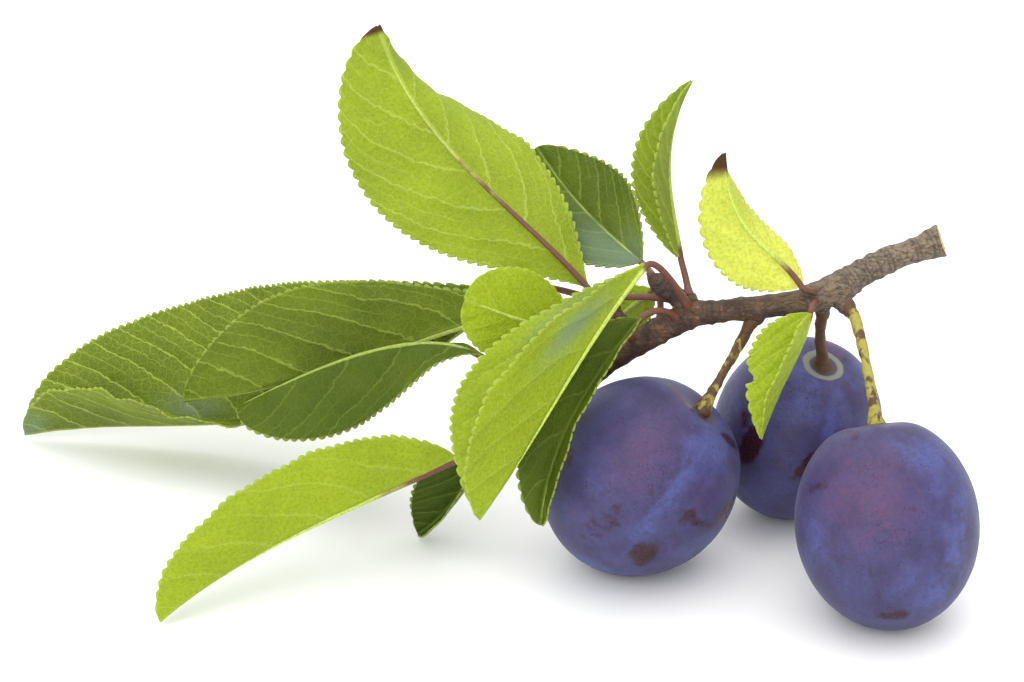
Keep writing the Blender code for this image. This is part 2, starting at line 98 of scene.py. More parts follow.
# Each tube of the twig: points of its middle line with the radius there, and where its ring scars
# sit, as a part of its length
TWIG = {
    "stem": ([
        (94.5, -9.3, 68.7, 3.5), (92.1, -10, 68.4, 3.6), (89.5, -11, 67.9, 3.2), (86, -12.5, 67.2, 2.7),
        (80, -14.5, 65.7, 2.7), (73, -17.5, 63.0, 2.9), (69, -19.5, 61.3, 3.4), (64.5, -20.5, 60.0, 3.2),
        (60, -21, 58.9, 2.6), (49, -21, 57.2, 2.4), (42, -20, 56.2, 2.4), (38, -19, 55.0, 2.9),
        (33, -18, 51.8, 2.7), (29.7, -17, 49.1, 2.9), (23.4, -14, 43.4, 2.6), (13.8, -12, 34, 2.0)],
        (0.13, 0.2, 0.265, 0.29, 0.315, 0.34, 0.365, 0.5, 0.6, 0.635, 0.66, 0.74, 0.78, 0.83, 0.9)),
    "spur_bud": ([(39, -18.5, 55.5, 2.2), (35, -17, 58.5, 2.1), (32, -16.5, 60.8, 2.2),
                  (30.2, -16.2, 62.2, 1.7), (28.5, -16, 63.8, 0.35)], (0.35, 0.5, 0.62)),
    "spur_side": ([(26, -15, 46.5, 2.0), (23.5, -11.5, 50, 1.7), (20.3, -8.5, 54, 1.4)], (0.5, 0.75)),
    "knob": ([(38.5, -19, 56, 1.6), (37.8, -18.5, 59.6, 1.2)], (0.8,)),
    "spur_left": ([(53, -21, 57.5, 2.2), (51.0, -21.3, 54.6, 1.6)], (0.55, 0.85)),
    "spur_front": ([(68.5, -20.5, 60, 2.2), (71.4, -23, 58.6, 1.6)], (0.6, 0.85)),
    "spur_back": ([(66.5, -20, 60, 2.2), (66.3, -18.5, 56, 1.6)], (0.6, 0.85)),
}
CUT_PLACE = (92.2, -10.0, 68.4)
CUT_FACES = (0.93, -0.05, 0.37)

# Each fruit stalk: points of its middle line with the radius there
STALKS = {
    "stalk_left": [(51.4, -21.3, 55.4, 1.7), (50.6, -21.7, 53.9, 1.5), (49.5, -22.3, 51.5, 1.25),
                   (46, -25, 46, 1.0), (42.8, -27.9, 41.3, 1.1), (41.6, -29, 39.5, 1.45),
                   (40.6, -29.8, 37.8, 1.8), (40.2, -30, 37.0, 1.7)],
    "stalk_back": [(66.3, -18.6, 56.9, 1.7), (66.4, -17.9, 54.7, 1.5), (66.4, -17.3, 53, 1.3),
                   (66.7, -14.3, 47, 1.15), (67.5, -12.8, 42.4, 1.3), (67.7, -12.3, 40.0, 1.7),
                   (67.8, -12.2, 38.8, 1.9)],
    "stalk_front": [(71.1, -22.6, 58.8, 1.7), (71.8, -24.2, 58, 1.45), (72.6, -26, 57, 1.2),
                    (74, -33, 52, 1.05), (75.3, -40.6, 44.9, 1.15), (75.6, -42.2, 42.6, 1.5),
                    (75.8, -43, 41.0, 2.0)],
}

# Each leaf. stem: the petiole's root in the twig and a point it bends towards. rib: four points
# spread evenly along the midrib, base first. face: where the upper face looks, at base and tip.
# wide: half widths along side a and side b. fold: degrees that each half is raised from flat.
# curl: further degrees that each half turns by its margin. widest: place of the widest part.
# full: how fast the outline widens from the base and narrows to the tip. young: 0 dark, 1 pale, and above 1 a
# painted glow of back light shining through the blade.
# wave: height of the margin's waves. brown: length of a dry tip. bites: side, place and depth.
# red: how far the red runs along the midrib. lines: how clearly the veins show. The last list holds bluish
# spots, a sheen painted into the leaf colour with a clear coat on the same spots, each with its side, place
# along and across, length, width and strength.
LEAVES = {
    "leaf_tall": dict(
        stem=[(35.5, -17.0, 58.0), (24.0, -13.0, 57.0)],
        rib=[(16.5, -8.0, 56.5), (-0.5, 0.0, 71.5), (-17.5, 8.0, 87.5), (-29.0, 16.0, 108.0)],
        face=[(0.1, 0.9, -0.4), (0.1, 0.9, -0.3)],
        wide=((17, 20, 24), (18, 17, 14)), fold=((10, 5, 0), (25, 35, 45)), curl=((0, -10, 20), (0, 25, 120)),
        widest=0.56, full=(0.85, 0.65), young=0.62, under=0.72, wave=0.3, brown=1.6, red=0.75, lines=0.6),
    "leaf_dark": dict(
        stem=[(32.5, -16.5, 60.5), (30.0, -11.0, 61.0)],
        rib=[(28.0, -5.0, 61.5), (21.0, 4.0, 64.5), (13.5, 12.5, 69.5), (5.5, 21.0, 78.0)],
        face=[(0.1, -0.9, 0.5)],
        wide=((6, 11, 12), (11,)), fold=((12,), (12,)), curl=((0,), (0,)),
        widest=0.48, full=(0.7, 0.6), young=0.2, wave=0.2, lines=0.25,
        wax=[(1, 0.25, 0.5, 12, 6, 1.0), (1, 0.05, 0.5, 9, 7, 1.0), (0, 0.1, 0.3, 6, 3, 0.4)]),
    "leaf_folded_up": dict(
        stem=[(37.8, -18.5, 59.0), (37.5, -14.0, 61.5)],
        rib=[(35.5, -12.0, 65.5), (33.5, -9.0, 77.5), (33.5, -6.0, 89.0), (38.0, -2.0, 102.0)],
        face=[(-0.8, -0.6, 0.0)],
        wide=((6, 6.5, 7), (7, 7.5, 7)), fold=((66,), (42,)), curl=((0,), (0,)),
        widest=0.5, full=(0.7, 0.8), young=0.5, wave=0.15),
    "leaf_hook": dict(
        stem=[(66.0, -21.0, 60.5), (63.5, -23.0, 62.5)],
        rib=[(61.0, -24.0, 64.0), (54.0, -23.0, 71.5), (47.5, -22.0, 79.0), (44.0, -20.0, 92.5)],
        face=[(0.0, 0.9, -0.3)],
        wide=((10,), (5, 6, 8)), fold=((10,), (45, 50, 70)), curl=((0,), (0, 20)),
        widest=0.45, full=(0.6, 0.7), young=1.4, wave=0.2, brown=3.4, red=0.3, lines=0.15),
    "leaf_over_plum": dict(
        stem=[(64.5, -21.5, 59.5), (63.5, -27.0, 61.5)],
        rib=[(62.5, -29.0, 60.0), (60.0, -31.0, 51.5), (56.0, -33.5, 43.0), (52.5, -36.0, 34.0)],
        face=[(-0.3, -0.9, 0.2)],
        wide=((9, 9, 8), (8,)), fold=((10,), (100,)), curl=((0,), (0,)),
        widest=0.42, full=(0.6, 0.9), young=1.0, wave=0.25, bites=[(0, 0.62, 2.0), (0, 0.66, 1.2)]),
    "leaf_round": dict(
        stem=[(27.0, -16.0, 48.0), (22.0, -20.5, 51.0)],
        rib=[(17.0, -22.0, 52.5), (7.0, -25.0, 55.0), (-2.0, -28.0, 59.5), (-10.0, -30.0, 63.5)],
        face=[(0.0, 0.9, -0.3)],
        wide=((9.5, 9.5, 9), (11, 10.5, 10)), fold=((5,), (5,)), curl=((0,), (0,)),
        widest=0.6, full=(0.7, 0.4), young=0.95, wave=0.2, teeth=0.4, lines=0.25),
    "leaf_front": dict(
        stem=[(38.0, -19.5, 56.5), (33.0, -24.0, 67.0)],
        rib=[(27.5, -26.0, 70.0), (15.0, -38.0, 56.0), (3.5, -48.0, 39.5), (-7.0, -54.0, 24.5)],
        face=[(-0.78, -0.1, 0.6)],
        wide=((10, 17.5, 20), (12, 17.5, 22)), fold=((62,), (62,)), curl=((0,), (0,)),
        widest=0.55, full=(0.8, 0.8), young=0.75, under=0.95, wave=0.35, red=0.04, lines=0.35,
        wax=[(0, 0.3, 0.55, 8, 3, 1.0), (1, 0.3, 0.55, 8, 3, 1.0)]),
    "leaf_beside_plum": dict(
        stem=[(36.0, -19.5, 54.0), (31.5, -23.5, 60.0)],
        rib=[(27.0, -25.0, 57.0), (18.0, -35.0, 48.5), (10.0, -41.0, 35.0), (6.0, -45.0, 18.0)],
        face=[(-0.3, -0.8, 0.4), (-0.5, -0.8, 0.2)],
        wide=((10, 10, 9), (6, 6, 8)), fold=((20, 40), (60, 60, 0)), curl=((0,), (0, 0, 60)),
        widest=0.5, full=(0.7, 0.6), young=0.2, wave=0.2, lines=0.15),
    "leaf_long": dict(
        stem=[(20.5, -8.5, 53.0), (10.0, 0.0, 53.0)],
        rib=[(-1.5, 6.0, 49.5), (-44.0, 20.0, 15.0), (-80.0, 28.0, 5.5), (-115.5, 31.0, 1.3)],
        face=[(0.0, -0.3, 0.95)],
        wide=((46, 30, 35), (12, 22, 32)), fold=((45,), (28, 42, 92)), curl=((0,), (0,)),
        widest=0.52, full=(0.8, 0.6), young=0.38, under=0.85, wave=0.5, lines=1.0,
        wax=[(0, 0.62, 0.12, 9, 4, 0.8), (0, 0.98, 0.3, 5, 4, 1.0), (1, 0.98, 0.3, 5, 4, 1.0)]),
    "leaf_keel": dict(
        stem=[(22.5, -10.5, 51.0), (14.0, -9.5, 54.0)],
        rib=[(6.0, -8.0, 53.0), (-19.5, -1.0, 41.5), (-46.5, 6.0, 28.5), (-75.0, 14.0, 18.5)],
        face=[(0.0, 0.3, 0.95)],
        wide=((15, 17, 17), (14, 19, 20)), fold=((30,), (80,)), curl=((0,), (0,)),
        widest=0.6, full=(0.8, 0.6), young=0.3, under=0.42, wave=0.35, lines=0.5),
    "leaf_shiny": dict(
        stem=[(24.5, -13.5, 45.5), (12.0, -15.0, 45.0)],
        rib=[(-6.0, -16.0, 44.0), (-24.5, -11.0, 44.5), (-45.0, -3.0, 34.0), (-62.0, 6.5, 21.0)],
        face=[(0.0, -0.3, 0.95)],
        wide=((9, 12, 12), (11, 15, 15)), fold=((0, -75, -10), (0, -50, -10)), curl=((0,), (0,)),
        widest=0.6, full=(0.8, 0.6), young=0.15, wave=0.3, lines=0.2),
    "leaf_low": dict(
        stem=[(15.5, -12.5, 35.5), (2.0, -22.0, 33.0)],
        rib=[(-12.0, -30.0, 26.5), (-34.5, -38.0, 19.0), (-55.5, -48.0, 12.0), (-74.0, -56.0, 1.2)],
        face=[(0.0, 0.2, 0.98)],
        wide=((13,), (22, 16, 20)), fold=((30,), (80,)), curl=((0,), (0,)),
        widest=0.5, full=(0.7, 0.7), young=0.8, under=1.0, wave=0.35, red=0.3, lines=0.35),
    "leaf_small": dict(
        stem=[(14.5, -12.0, 34.0), (-2.0, -19.0, 31.0)],
        rib=[(-7.5, -22.0, 24.0), (-10.5, -21.0, 15.0), (-15.5, -19.0, 6.5), (-21.0, -18.0, 1.2)],
        face=[(-0.75, -0.6, 0.4)],
        wide=((9,), (7,)), fold=((45,), (50,)), curl=((0,), (0,)),
        widest=0.5, full=(0.7, 0.6), young=0.05, wave=0.15, lines=0.15),
    "leaf_inner": dict(
        stem=[(31.0, -17.0, 50.5), (33.0, -13.0, 54.5)],
        rib=[(31.0, -9.0, 56.5), (27.0, -5.0, 51.5), (23.5, -1.0, 46.5), (19.5, 3.0, 41.0)],
        face=[(0.0, 0.9, -0.3)],
        wide=((5,), (5,)), fold=((10,), (10,)), curl=((0,), (0,)),
        widest=0.5, full=(0.8, 0.8), young=0.9, wave=0.1),
}


def colour(label, hint, default):
    return bpy.props.FloatVectorProperty(
        name=label, description=hint, default=default, size=3, min=0.0, max=1.0, subtype="COLOR")


def length(label, hint, default):
    return bpy.props.FloatProperty(
        name=label, description=hint, default=default, min=0.0, unit="LENGTH", precision=5)


def share(label, hint, default, top=1.0):
    return bpy.props.FloatProperty(
        name=label, description=hint, default=default, min=0.0, max=top, subtype="FACTOR")


class PlumLook(bpy.types.PropertyGroup):
    """Sizes and colours of the fruit."""
    cavity_depth: length("Cavity depth", "How deep the skin dips round the stalk", 0.0024)
    suture_depth: length("Suture depth", "How deep the seam down one side is", 0.0003)
    bloom: colour("Bloom", "Waxy blue-violet film over most of the skin", (0.046, 0.036, 0.098))
    bloom_blue: colour("Blue bloom", "Thicker bloom, where it looks blue", (0.070, 0.082, 0.240))
    bloom_pink: colour("Pink bloom", "Thin bloom over red skin", (0.092, 0.044, 0.105))
    bare_skin: colour("Bare skin", "Skin where the bloom is rubbed off", (0.030, 0.008, 0.014))
    rim: colour("Cavity rim", "Pale ring of skin round the stalk", (0.190, 0.195, 0.150))
    roughness: share("Roughness", "Roughness of the bloom", 0.5)


class LeafLook(bpy.types.PropertyGroup):
    """Sizes and colours of the leaves."""
    thickness: length("Blade thickness", "Thickness of the blade between its veins", 0.00035)
    tooth_spacing: length("Tooth spacing", "Distance from tooth to tooth along the margin", 0.0020)
    tooth_height: length("Tooth height", "How far a tooth stands out", 0.00085)
    vein_depth: length("Vein depth", "How deep the veins are sunk into the upper face", 0.00014)
    pillow: length("Pillow height", "How far the blade swells between its veins", 0.00022)
    upper_dark: colour("Upper face, old", "Green of an old leaf's upper face", (0.058, 0.100, 0.004))
    upper_pale: colour("Upper face, young", "Green of a young leaf's upper face", (0.400, 0.510, 0.020))
    under_dark: colour("Underside, old", "Green of an old leaf's underside", (0.130, 0.200, 0.018))
    under_pale: colour("Underside, young", "Green of a young leaf's underside", (0.500, 0.640, 0.070))
    vein: colour("Veins", "Colour of the veins", (0.480, 0.570, 0.120))
    # The bluish colour of the leaf spots is a painted sheen: a highlight painted into the leaf colour.
    wax: colour("Wax", "Bluish wax that catches the light in places", (0.200, 0.290, 0.200))
    petiole: colour("Petiole", "Reddish brown of petioles and midribs", (0.140, 0.050, 0.026))
    glow: share("Glow", "Share of the light that passes through the blade", 0.25)


class WoodLook(bpy.types.PropertyGroup):
    """Colours of the twig and the fruit stalks."""
    bark_dark: colour("Bark, dark", "Bark in the cracks and on young wood", (0.040, 0.020, 0.012))
    bark_brown: colour("Bark, brown", "Reddish brown bark", (0.135, 0.068, 0.034))
    bark_grey: colour("Bark, grey", "Weathered grey-olive bark near the cut end", (0.230, 0.195, 0.125))
    cut_wood: colour("Cut wood", "Fresh wood of the cut end", (0.640, 0.520, 0.250))
    stalk_green: colour("Stalk, green", "Yellow-green skin of a fruit stalk", (0.330, 0.290, 0.045))
    stalk_brown: colour("Stalk, brown", "Corky brown patches of a fruit stalk", (0.085, 0.036, 0.012))
    voxel: length("Wood detail", "Size of the remesh that joins the tubes", 0.00028)


class StudioLook(bpy.types.PropertyGroup):
    """Floor, lights and camera."""
    floor: colour("Floor", "Colour of the floor", (0.90, 0.90, 0.90))
    top_light: bpy.props.FloatProperty(
        name="Top light", description="Power of the large lamp overhead", default=7.0, min=0.0, unit="POWER")
    front_light: bpy.props.FloatProperty(
        name="Front light", description="Power of the fill lamp in front", default=5.0, min=0.0, unit="POWER")
    back_light: bpy.props.FloatProperty(
        name="Back light", description="Power of the lamp behind the leaves", default=2.5, min=0.0, unit="POWER")
    sky: bpy.props.FloatProperty(
        name="Sky", description="Strength of the even white light", default=1.2, min=0.0)
    lens: bpy.props.FloatProperty(
        name="Lens", description="Focal length of the camera in millimetres", default=103.0, min=10.0)


# Shape helpers

def place(points):
    """Points of the tables as metres of the CAD frame."""
    return (np.asarray(points, float) - ORIGIN) * MM


def normed(vectors):
    vectors = np.asarray(vectors, float)
    return vectors / np.linalg.norm(vectors, axis=-1, keepdims=True)


def smooth(value, low, high):
    """0 below low, 1 above high and a soft step between them."""
    t = np.clip((value - low) / (high - low), 0, 1)
    return t * t * (3 - 2 * t)


def through(values, u):
    """Values at u of the smooth curve through values that are spread evenly from 0 to 1."""
    values = np.asarray(values, float)
    places = np.linspace(0, 1, len(values))
    total = 0
    for i, value in enumerate(values):
        weight = np.ones_like(u)
        for j, other in enumerate(places):
            if j != i:
                weight = weight * (u - other) / (places[i] - other)
        total = total + (weight[:, None] * value if values.ndim > 1 else weight * value)
    return total


def smooth_route(points, steps):
    """Points with radius, spread more finely along a smooth curve through the given ones."""
    knots = [np.array(p, float) for p in points]
    knots = [2 * knots[0] - knots[1], *knots, 2 * knots[-1] - knots[-2]]
    route = []
    for a, b, c, d in zip(knots, knots[1:], knots[2:], knots[3:]):
        for step in range(steps):
            t = step / steps
            route.append(0.5 * (2 * b + (c - a) * t + (2 * a - 5 * b + 4 * c - d) * t ** 2
                                + (3 * b - 3 * c + d - a) * t ** 3))
    return np.array([*route, knots[-2]])


def coordinates(mesh):
    flat = np.empty(len(mesh.vertices) * 3)
    mesh.vertices.foreach_get("co", flat)
    return flat.reshape(-1, 3)


def move_points(mesh, points):
    mesh.vertices.foreach_set("co", np.ascontiguousarray(points, float).ravel())
    mesh.update()


def store(mesh, name, values):
    """Keeps one number for each point of the mesh, for its material to read."""
    mark = mesh.attributes.get(name) or mesh.attributes.new(name, "FLOAT", "POINT")
    mark.data.foreach_set("value", np.ascontiguousarray(values, np.float32))


def rough(points, scale, octaves=3):
    """Even noise at points, in metres, with features of about scale metres."""
    return np.array([noise.fractal(Vector(p) / scale, 1.0, 2.0, octaves) for p in points])


def clear_selection():
    if bpy.context.object and bpy.context.object.mode != "OBJECT":
        bpy.ops.object.mode_set(mode="OBJECT")
    bpy.ops.object.select_all(action="DESELECT")


def select_only(*pieces):
    clear_selection()
    for piece in pieces:
        piece.select_set(True)
    bpy.context.view_layer.objects.active = pieces[0]


def named(name):
    piece = bpy.context.object
    piece.name = name
    piece.data.name = name
    return piece


def apply_modifier(piece, kind, **settings):
    select_only(piece)
    bpy.ops.object.modifier_add(type=kind)
    modifier = piece.modifiers[-1]
    for key, value in settings.items():
        setattr(modifier, key, value)
    bpy.ops.object.modifier_apply(modifier=modifier.name)


def tube(name, route, sides=16):
    """A round closed tube along a route of (x, y, z, radius) in table millimetres, as a mesh."""
    clear_selection()
    bpy.ops.curve.primitive_nurbs_path_add(radius=0.01, location=(0, 0, 0))
    curve = bpy.context.object.data
    curve.splines.clear()
    curve.bevel_depth = MM
    curve.bevel_resolution = sides // 2 - 2
    curve.use_fill_caps = True
    spline = curve.splines.new("POLY")
    spline.points.add(len(route) - 1)
    for target, point, radius in zip(spline.points, place(np.array(route)[:, :3]), np.array(route)[:, 3]):
        target.co = (*point, 1)
        target.radius = radius
    bpy.ops.object.convert(target="MESH")
    piece = named(name)
    bpy.ops.object.mode_set(mode="EDIT")
    bpy.ops.mesh.select_all(action="SELECT")
    bpy.ops.mesh.remove_doubles(threshold=0.000002)
    bpy.ops.object.mode_set(mode="OBJECT")
    gaps = np.linalg.norm(coordinates(piece.data)[:, None] - place(np.array(route)[:, :3])[None], axis=2)
    store(piece.data, "along", gaps.argmin(1) / (len(route) - 1))
    return piece


def join(name, pieces):
    select_only(*pieces)
    bpy.ops.object.join()
    return named(name)


def finish_piece(piece, node, materials, smooth_angle=None):
    """Gives a finished piece its materials and its place on the body."""
    select_only(piece)
    piece.data.materials.clear()
    for material in materials:
        piece.data.materials.append(material)
    if smooth_angle is None:
        bpy.ops.object.shade_smooth()
    else:
        bpy.ops.object.shade_smooth_by_angle(angle=smooth_angle)
    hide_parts(node)
    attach(piece, "root")


# Material helpers

def put(tree, kind, inputs=None, **settings):
    """Adds a node. An input is a value, or the socket that feeds it."""
    made = tree.nodes.new("ShaderNode" + kind)
    count = len(tree.nodes)
    made.location = (240 * (count % 9), -280 * (count // 9))
    for key, value in settings.items():
        setattr(made, key, value)
    for key, value in (inputs or {}).items():
        feed(tree, made.inputs[key], value)
    return made


def feed(tree, socket, value):
    if isinstance(value, bpy.types.NodeSocket):
        tree.links.new(value, socket)
    elif socket.type == "RGBA" and len(value) == 3:
        socket.default_value = (*value, 1)
    else:
        socket.default_value = value


def maths(tree, operation, *values):
    made = put(tree, "Math", operation=operation)
    for socket, value in zip(made.inputs, values):
        feed(tree, socket, value)
    return made.outputs[0]


def step(tree, value, low, high, bottom=0.0, top=1.0):
    """A soft step from bottom to top as value goes from low to high."""
    made = put(tree, "MapRange", {"Value": value, "From Min": low, "From Max": high,
                                  "To Min": bottom, "To Max": top}, interpolation_type="SMOOTHSTEP")
    return made.outputs[0]


def mixed(tree, factor, a, b, blend="MIX"):
    made = put(tree, "Mix", data_type="RGBA", blend_type=blend)
    for index, value in ((0, factor), (6, a), (7, b)):
        feed(tree, made.inputs[index], value)
    return made.outputs[2]


def grain(tree, coordinate, scale, detail=3.0, roughness=0.5, distortion=0.0):
    made = put(tree, "TexNoise", {"Vector": coordinate, "Scale": scale, "Detail": detail,
                                  "Roughness": roughness, "Distortion": distortion})
    return made.outputs["Fac"]


def stretched(tree, coordinate, scale, turn=(0, 0, 0)):
    return put(tree, "Mapping", {"Vector": coordinate, "Scale": scale, "Rotation": turn}).outputs[0]


def attribute(tree, name):
    return put(tree, "Attribute", attribute_name=name).outputs["Fac"]


def object_place(tree):
    return put(tree, "TexCoord").outputs["Object"]


def new_material(name):
    material = bpy.data.materials.new(name)
    material.use_nodes = True
    return material, material.node_tree, material.node_tree.nodes["Principled BSDF"]


def new_group(name, inputs, outputs):
    """A shader node group. inputs and outputs: (name, kind, default)."""
    tree = bpy.data.node_groups.new(name, "ShaderNodeTree")
    for label, kind, default in inputs:
        socket = tree.interface.new_socket(label, in_out="INPUT", socket_type="NodeSocket" + kind)
        if default is not None:
            socket.default_value = default
    for label, kind in outputs:
        tree.interface.new_socket(label, in_out="OUTPUT", socket_type="NodeSocket" + kind)
    start = tree.nodes.new("NodeGroupInput")
    end = tree.nodes.new("NodeGroupOutput")
    end.location = (2400, 0)
    return tree, start.outputs, end.inputs


def use_group(tree, name, inputs):
    made = put(tree, "Group", node_tree=bpy.data.node_groups[name])
    for key, value in inputs.items():
        feed(tree, made.inputs[key], value)
    return made.outputs


def make_groups():
    """Effects that several materials share: leaf veins, speckles and long cracks."""
    tree, given, out = new_group(
        "Leaf Veins", [("Map", "Vector", None), ("Place", "Vector", None)],
        [("Net", "Float"), ("Vein", "Float"), ("Rib", "Float"), ("Height", "Float"), ("Cloud", "Float")])
    wobble = put(tree, "TexNoise", {"Vector": given["Map"], "Scale": 60.0, "Detail": 2.0})
    bent = put(tree, "VectorMath", {0: wobble.outputs["Color"], 1: (0.012, 0.012, 0)}, operation="MULTIPLY")
    bent = put(tree, "VectorMath", {0: given["Map"], 1: bent.outputs[0]}, operation="ADD").outputs[0]
    coarse = put(tree, "TexVoronoi", {"Vector": bent, "Scale": 42.0, "Randomness": 0.9},
                 feature="DISTANCE_TO_EDGE", voronoi_dimensions="2D").outputs["Distance"]
    fine = put(tree, "TexVoronoi", {"Vector": bent, "Scale": 105.0, "Randomness": 0.9},
               feature="DISTANCE_TO_EDGE", voronoi_dimensions="2D").outputs["Distance"]
    finest = put(tree, "TexVoronoi", {"Vector": bent, "Scale": 230.0, "Randomness": 1.0},
                 feature="DISTANCE_TO_EDGE", voronoi_dimensions="2D").outputs["Distance"]
    net = maths(tree, "MAXIMUM", step(tree, coarse, 0.0, 0.10, 1.0, 0.0),
                step(tree, fine, 0.0, 0.16, 0.7, 0.0))
    net = maths(tree, "MAXIMUM", net, step(tree, finest, 0.0, 0.25, 0.5, 0.0))
    number = maths(tree, "ADD", attribute(tree, "branch"),
                   maths(tree, "MULTIPLY", maths(tree, "SUBTRACT", wobble.outputs["Fac"], 0.5), 0.22))
    pace = attribute(tree, "pace")
    out_there = attribute(tree, "out")
    halfway = maths(tree, "ABSOLUTE", maths(tree, "SUBTRACT", maths(tree, "FRACT", number), 0.5))
    from_fork = maths(tree, "MULTIPLY", halfway, pace)
    from_vein = maths(tree, "MULTIPLY", maths(tree, "SUBTRACT", 0.5, halfway), pace)
    vein = step(tree, from_vein, 0.05, step(tree, out_there, 0.0, 1.0, 0.42, 0.2), 1.0, 0.0)
    fork = maths(tree, "MULTIPLY", step(tree, from_fork, 0.02, 0.2, 1.0, 0.0),
                 step(tree, out_there, 0.4, 0.6, 0.0, 0.6))
    vein = maths(tree, "MAXIMUM", vein, fork)
    rib = step(tree, attribute(tree, "rib"), 0.2, 0.5, 1.0, 0.0)
    raised = maths(tree, "MAXIMUM", net, maths(tree, "MAXIMUM", vein, rib))
    tree.links.new(net, out["Net"])
    tree.links.new(vein, out["Vein"])
    tree.links.new(rib, out["Rib"])
    tree.links.new(raised, out["Height"])
    tree.links.new(grain(tree, given["Place"], 55.0, 4.0), out["Cloud"])

    tree, given, out = new_group(
        "Speckles", [("Place", "Vector", None), ("Scale", "Float", 900.0), ("Size", "Float", 0.2),
                     ("Share", "Float", 0.5)], [("Mask", "Float")])
    cells = put(tree, "TexVoronoi", {"Vector": given["Place"], "Scale": given["Scale"]})
    dot = maths(tree, "LESS_THAN", cells.outputs["Distance"], given["Size"])
    chosen = put(tree, "SeparateColor", {0: cells.outputs["Color"]}).outputs[0]
    tree.links.new(maths(tree, "MULTIPLY", dot, maths(tree, "LESS_THAN", chosen, given["Share"])), out["Mask"])

    tree, given, out = new_group(
        "Fine Lines", [("Place", "Vector", None), ("Scale", "Float", 200.0), ("Width", "Float", 0.02)],
        [("Mask", "Float")])
    waves = grain(tree, given["Place"], given["Scale"], 2.0, 0.6, 0.6)
    ridge = maths(tree, "ABSOLUTE", maths(tree, "SUBTRACT", waves, 0.5))
    line = maths(tree, "SUBTRACT", 1.0, maths(tree, "DIVIDE", ridge, given["Width"]))
    tree.links.new(maths(tree, "MAXIMUM", line, 0.0), out["Mask"])


def plum_material(look):
    material, tree, shader = new_material("plum_bloom")
    spot = object_place(tree)
    cloud = grain(tree, spot, 130.0, 5.0, 0.6)
    blotch = grain(tree, spot, 420.0, 4.0, 0.65)
    ragged = maths(tree, "ADD", maths(tree, "MULTIPLY", maths(tree, "SUBTRACT", blotch, 0.5), 1.5),
                   maths(tree, "MULTIPLY", maths(tree, "SUBTRACT", cloud, 0.5), 1.3))
    base = mixed(tree, step(tree, cloud, 0.3, 0.75, 0.0, 0.55), look.bloom, look.bloom_blue)
    pink = step(tree, maths(tree, "ADD", attribute(tree, "pink"), ragged), 0.1, 1.3, 0.0, 0.9)
    base = mixed(tree, pink, base, look.bloom_pink)
    blue = step(tree, maths(tree, "ADD", attribute(tree, "blue"), ragged), 0.15, 1.15, 0.0, 1.0)
    base = mixed(tree, blue, base, look.bloom_blue)
    fleck = grain(tree, spot, 1400.0, 3.0, 0.7)
    base = mixed(tree, step(tree, fleck, 0.42, 0.72, 0.0, 0.3), base, (0.03, 0.022, 0.085))
    rubbed = step(tree, maths(tree, "ADD", attribute(tree, "rubbed"), ragged), 0.3, 0.95)
    base = mixed(tree, rubbed, base, look.bare_skin)
    bunch = step(tree, grain(tree, spot, 90.0, 2.0), 0.5, 0.66)
    lines = use_group(tree, "Fine Lines", {"Place": stretched(tree, spot, (1, 1, 0.3), (0.3, 0.5, 0.2)),
                                           "Scale": 520.0, "Width": 0.012})["Mask"]
    cross = use_group(tree, "Fine Lines", {"Place": stretched(tree, spot, (0.35, 1, 1), (0.1, -0.4, 0.9)),
                                           "Scale": 430.0, "Width": 0.010})["Mask"]
    worn = maths(tree, "MULTIPLY", maths(tree, "MAXIMUM", lines, cross), bunch)
    base = mixed(tree, maths(tree, "MULTIPLY", worn, 0.75), base, (0.022, 0.014, 0.05))
    dots = use_group(tree, "Speckles", {"Place": spot, "Scale": 780.0, "Size": 0.17, "Share": 0.22})["Mask"]
    base = mixed(tree, maths(tree, "MULTIPLY", dots, 0.6), base, (0.035, 0.015, 0.05))
    rim = step(tree, maths(tree, "ADD", attribute(tree, "rim"), maths(tree, "MULTIPLY", ragged, 0.5)), 0.4, 0.9)
    base = mixed(tree, rim, base, look.rim)
    base = mixed(tree, attribute(tree, "pit"), base, (0.060, 0.042, 0.020))
    tree.links.new(base, shader.inputs["Base Color"])
    gloss = mixed(tree, rubbed, (look.roughness,) * 3, (0.28, 0.28, 0.28))
    tree.links.new(maths(tree, "ADD", gloss, maths(tree, "MULTIPLY", maths(tree, "SUBTRACT", fleck, 0.5), 0.2)),
                   shader.inputs["Roughness"])
    shader.inputs["IOR"].default_value = 1.42
    shader.inputs["Specular IOR Level"].default_value = 0.35
    shader.inputs["Sheen Weight"].default_value = 0.06
    shader.inputs["Sheen Roughness"].default_value = 0.4
    shader.inputs["Sheen Tint"].default_value = (0.55, 0.6, 0.85, 1)
    height = maths(tree, "SUBTRACT", maths(tree, "MULTIPLY", fleck, 0.5), worn)
    bump = put(tree, "Bump", {"Strength": 0.35, "Distance": 0.0002, "Height": height})
    tree.links.new(bump.outputs[0], shader.inputs["Normal"])
    return material


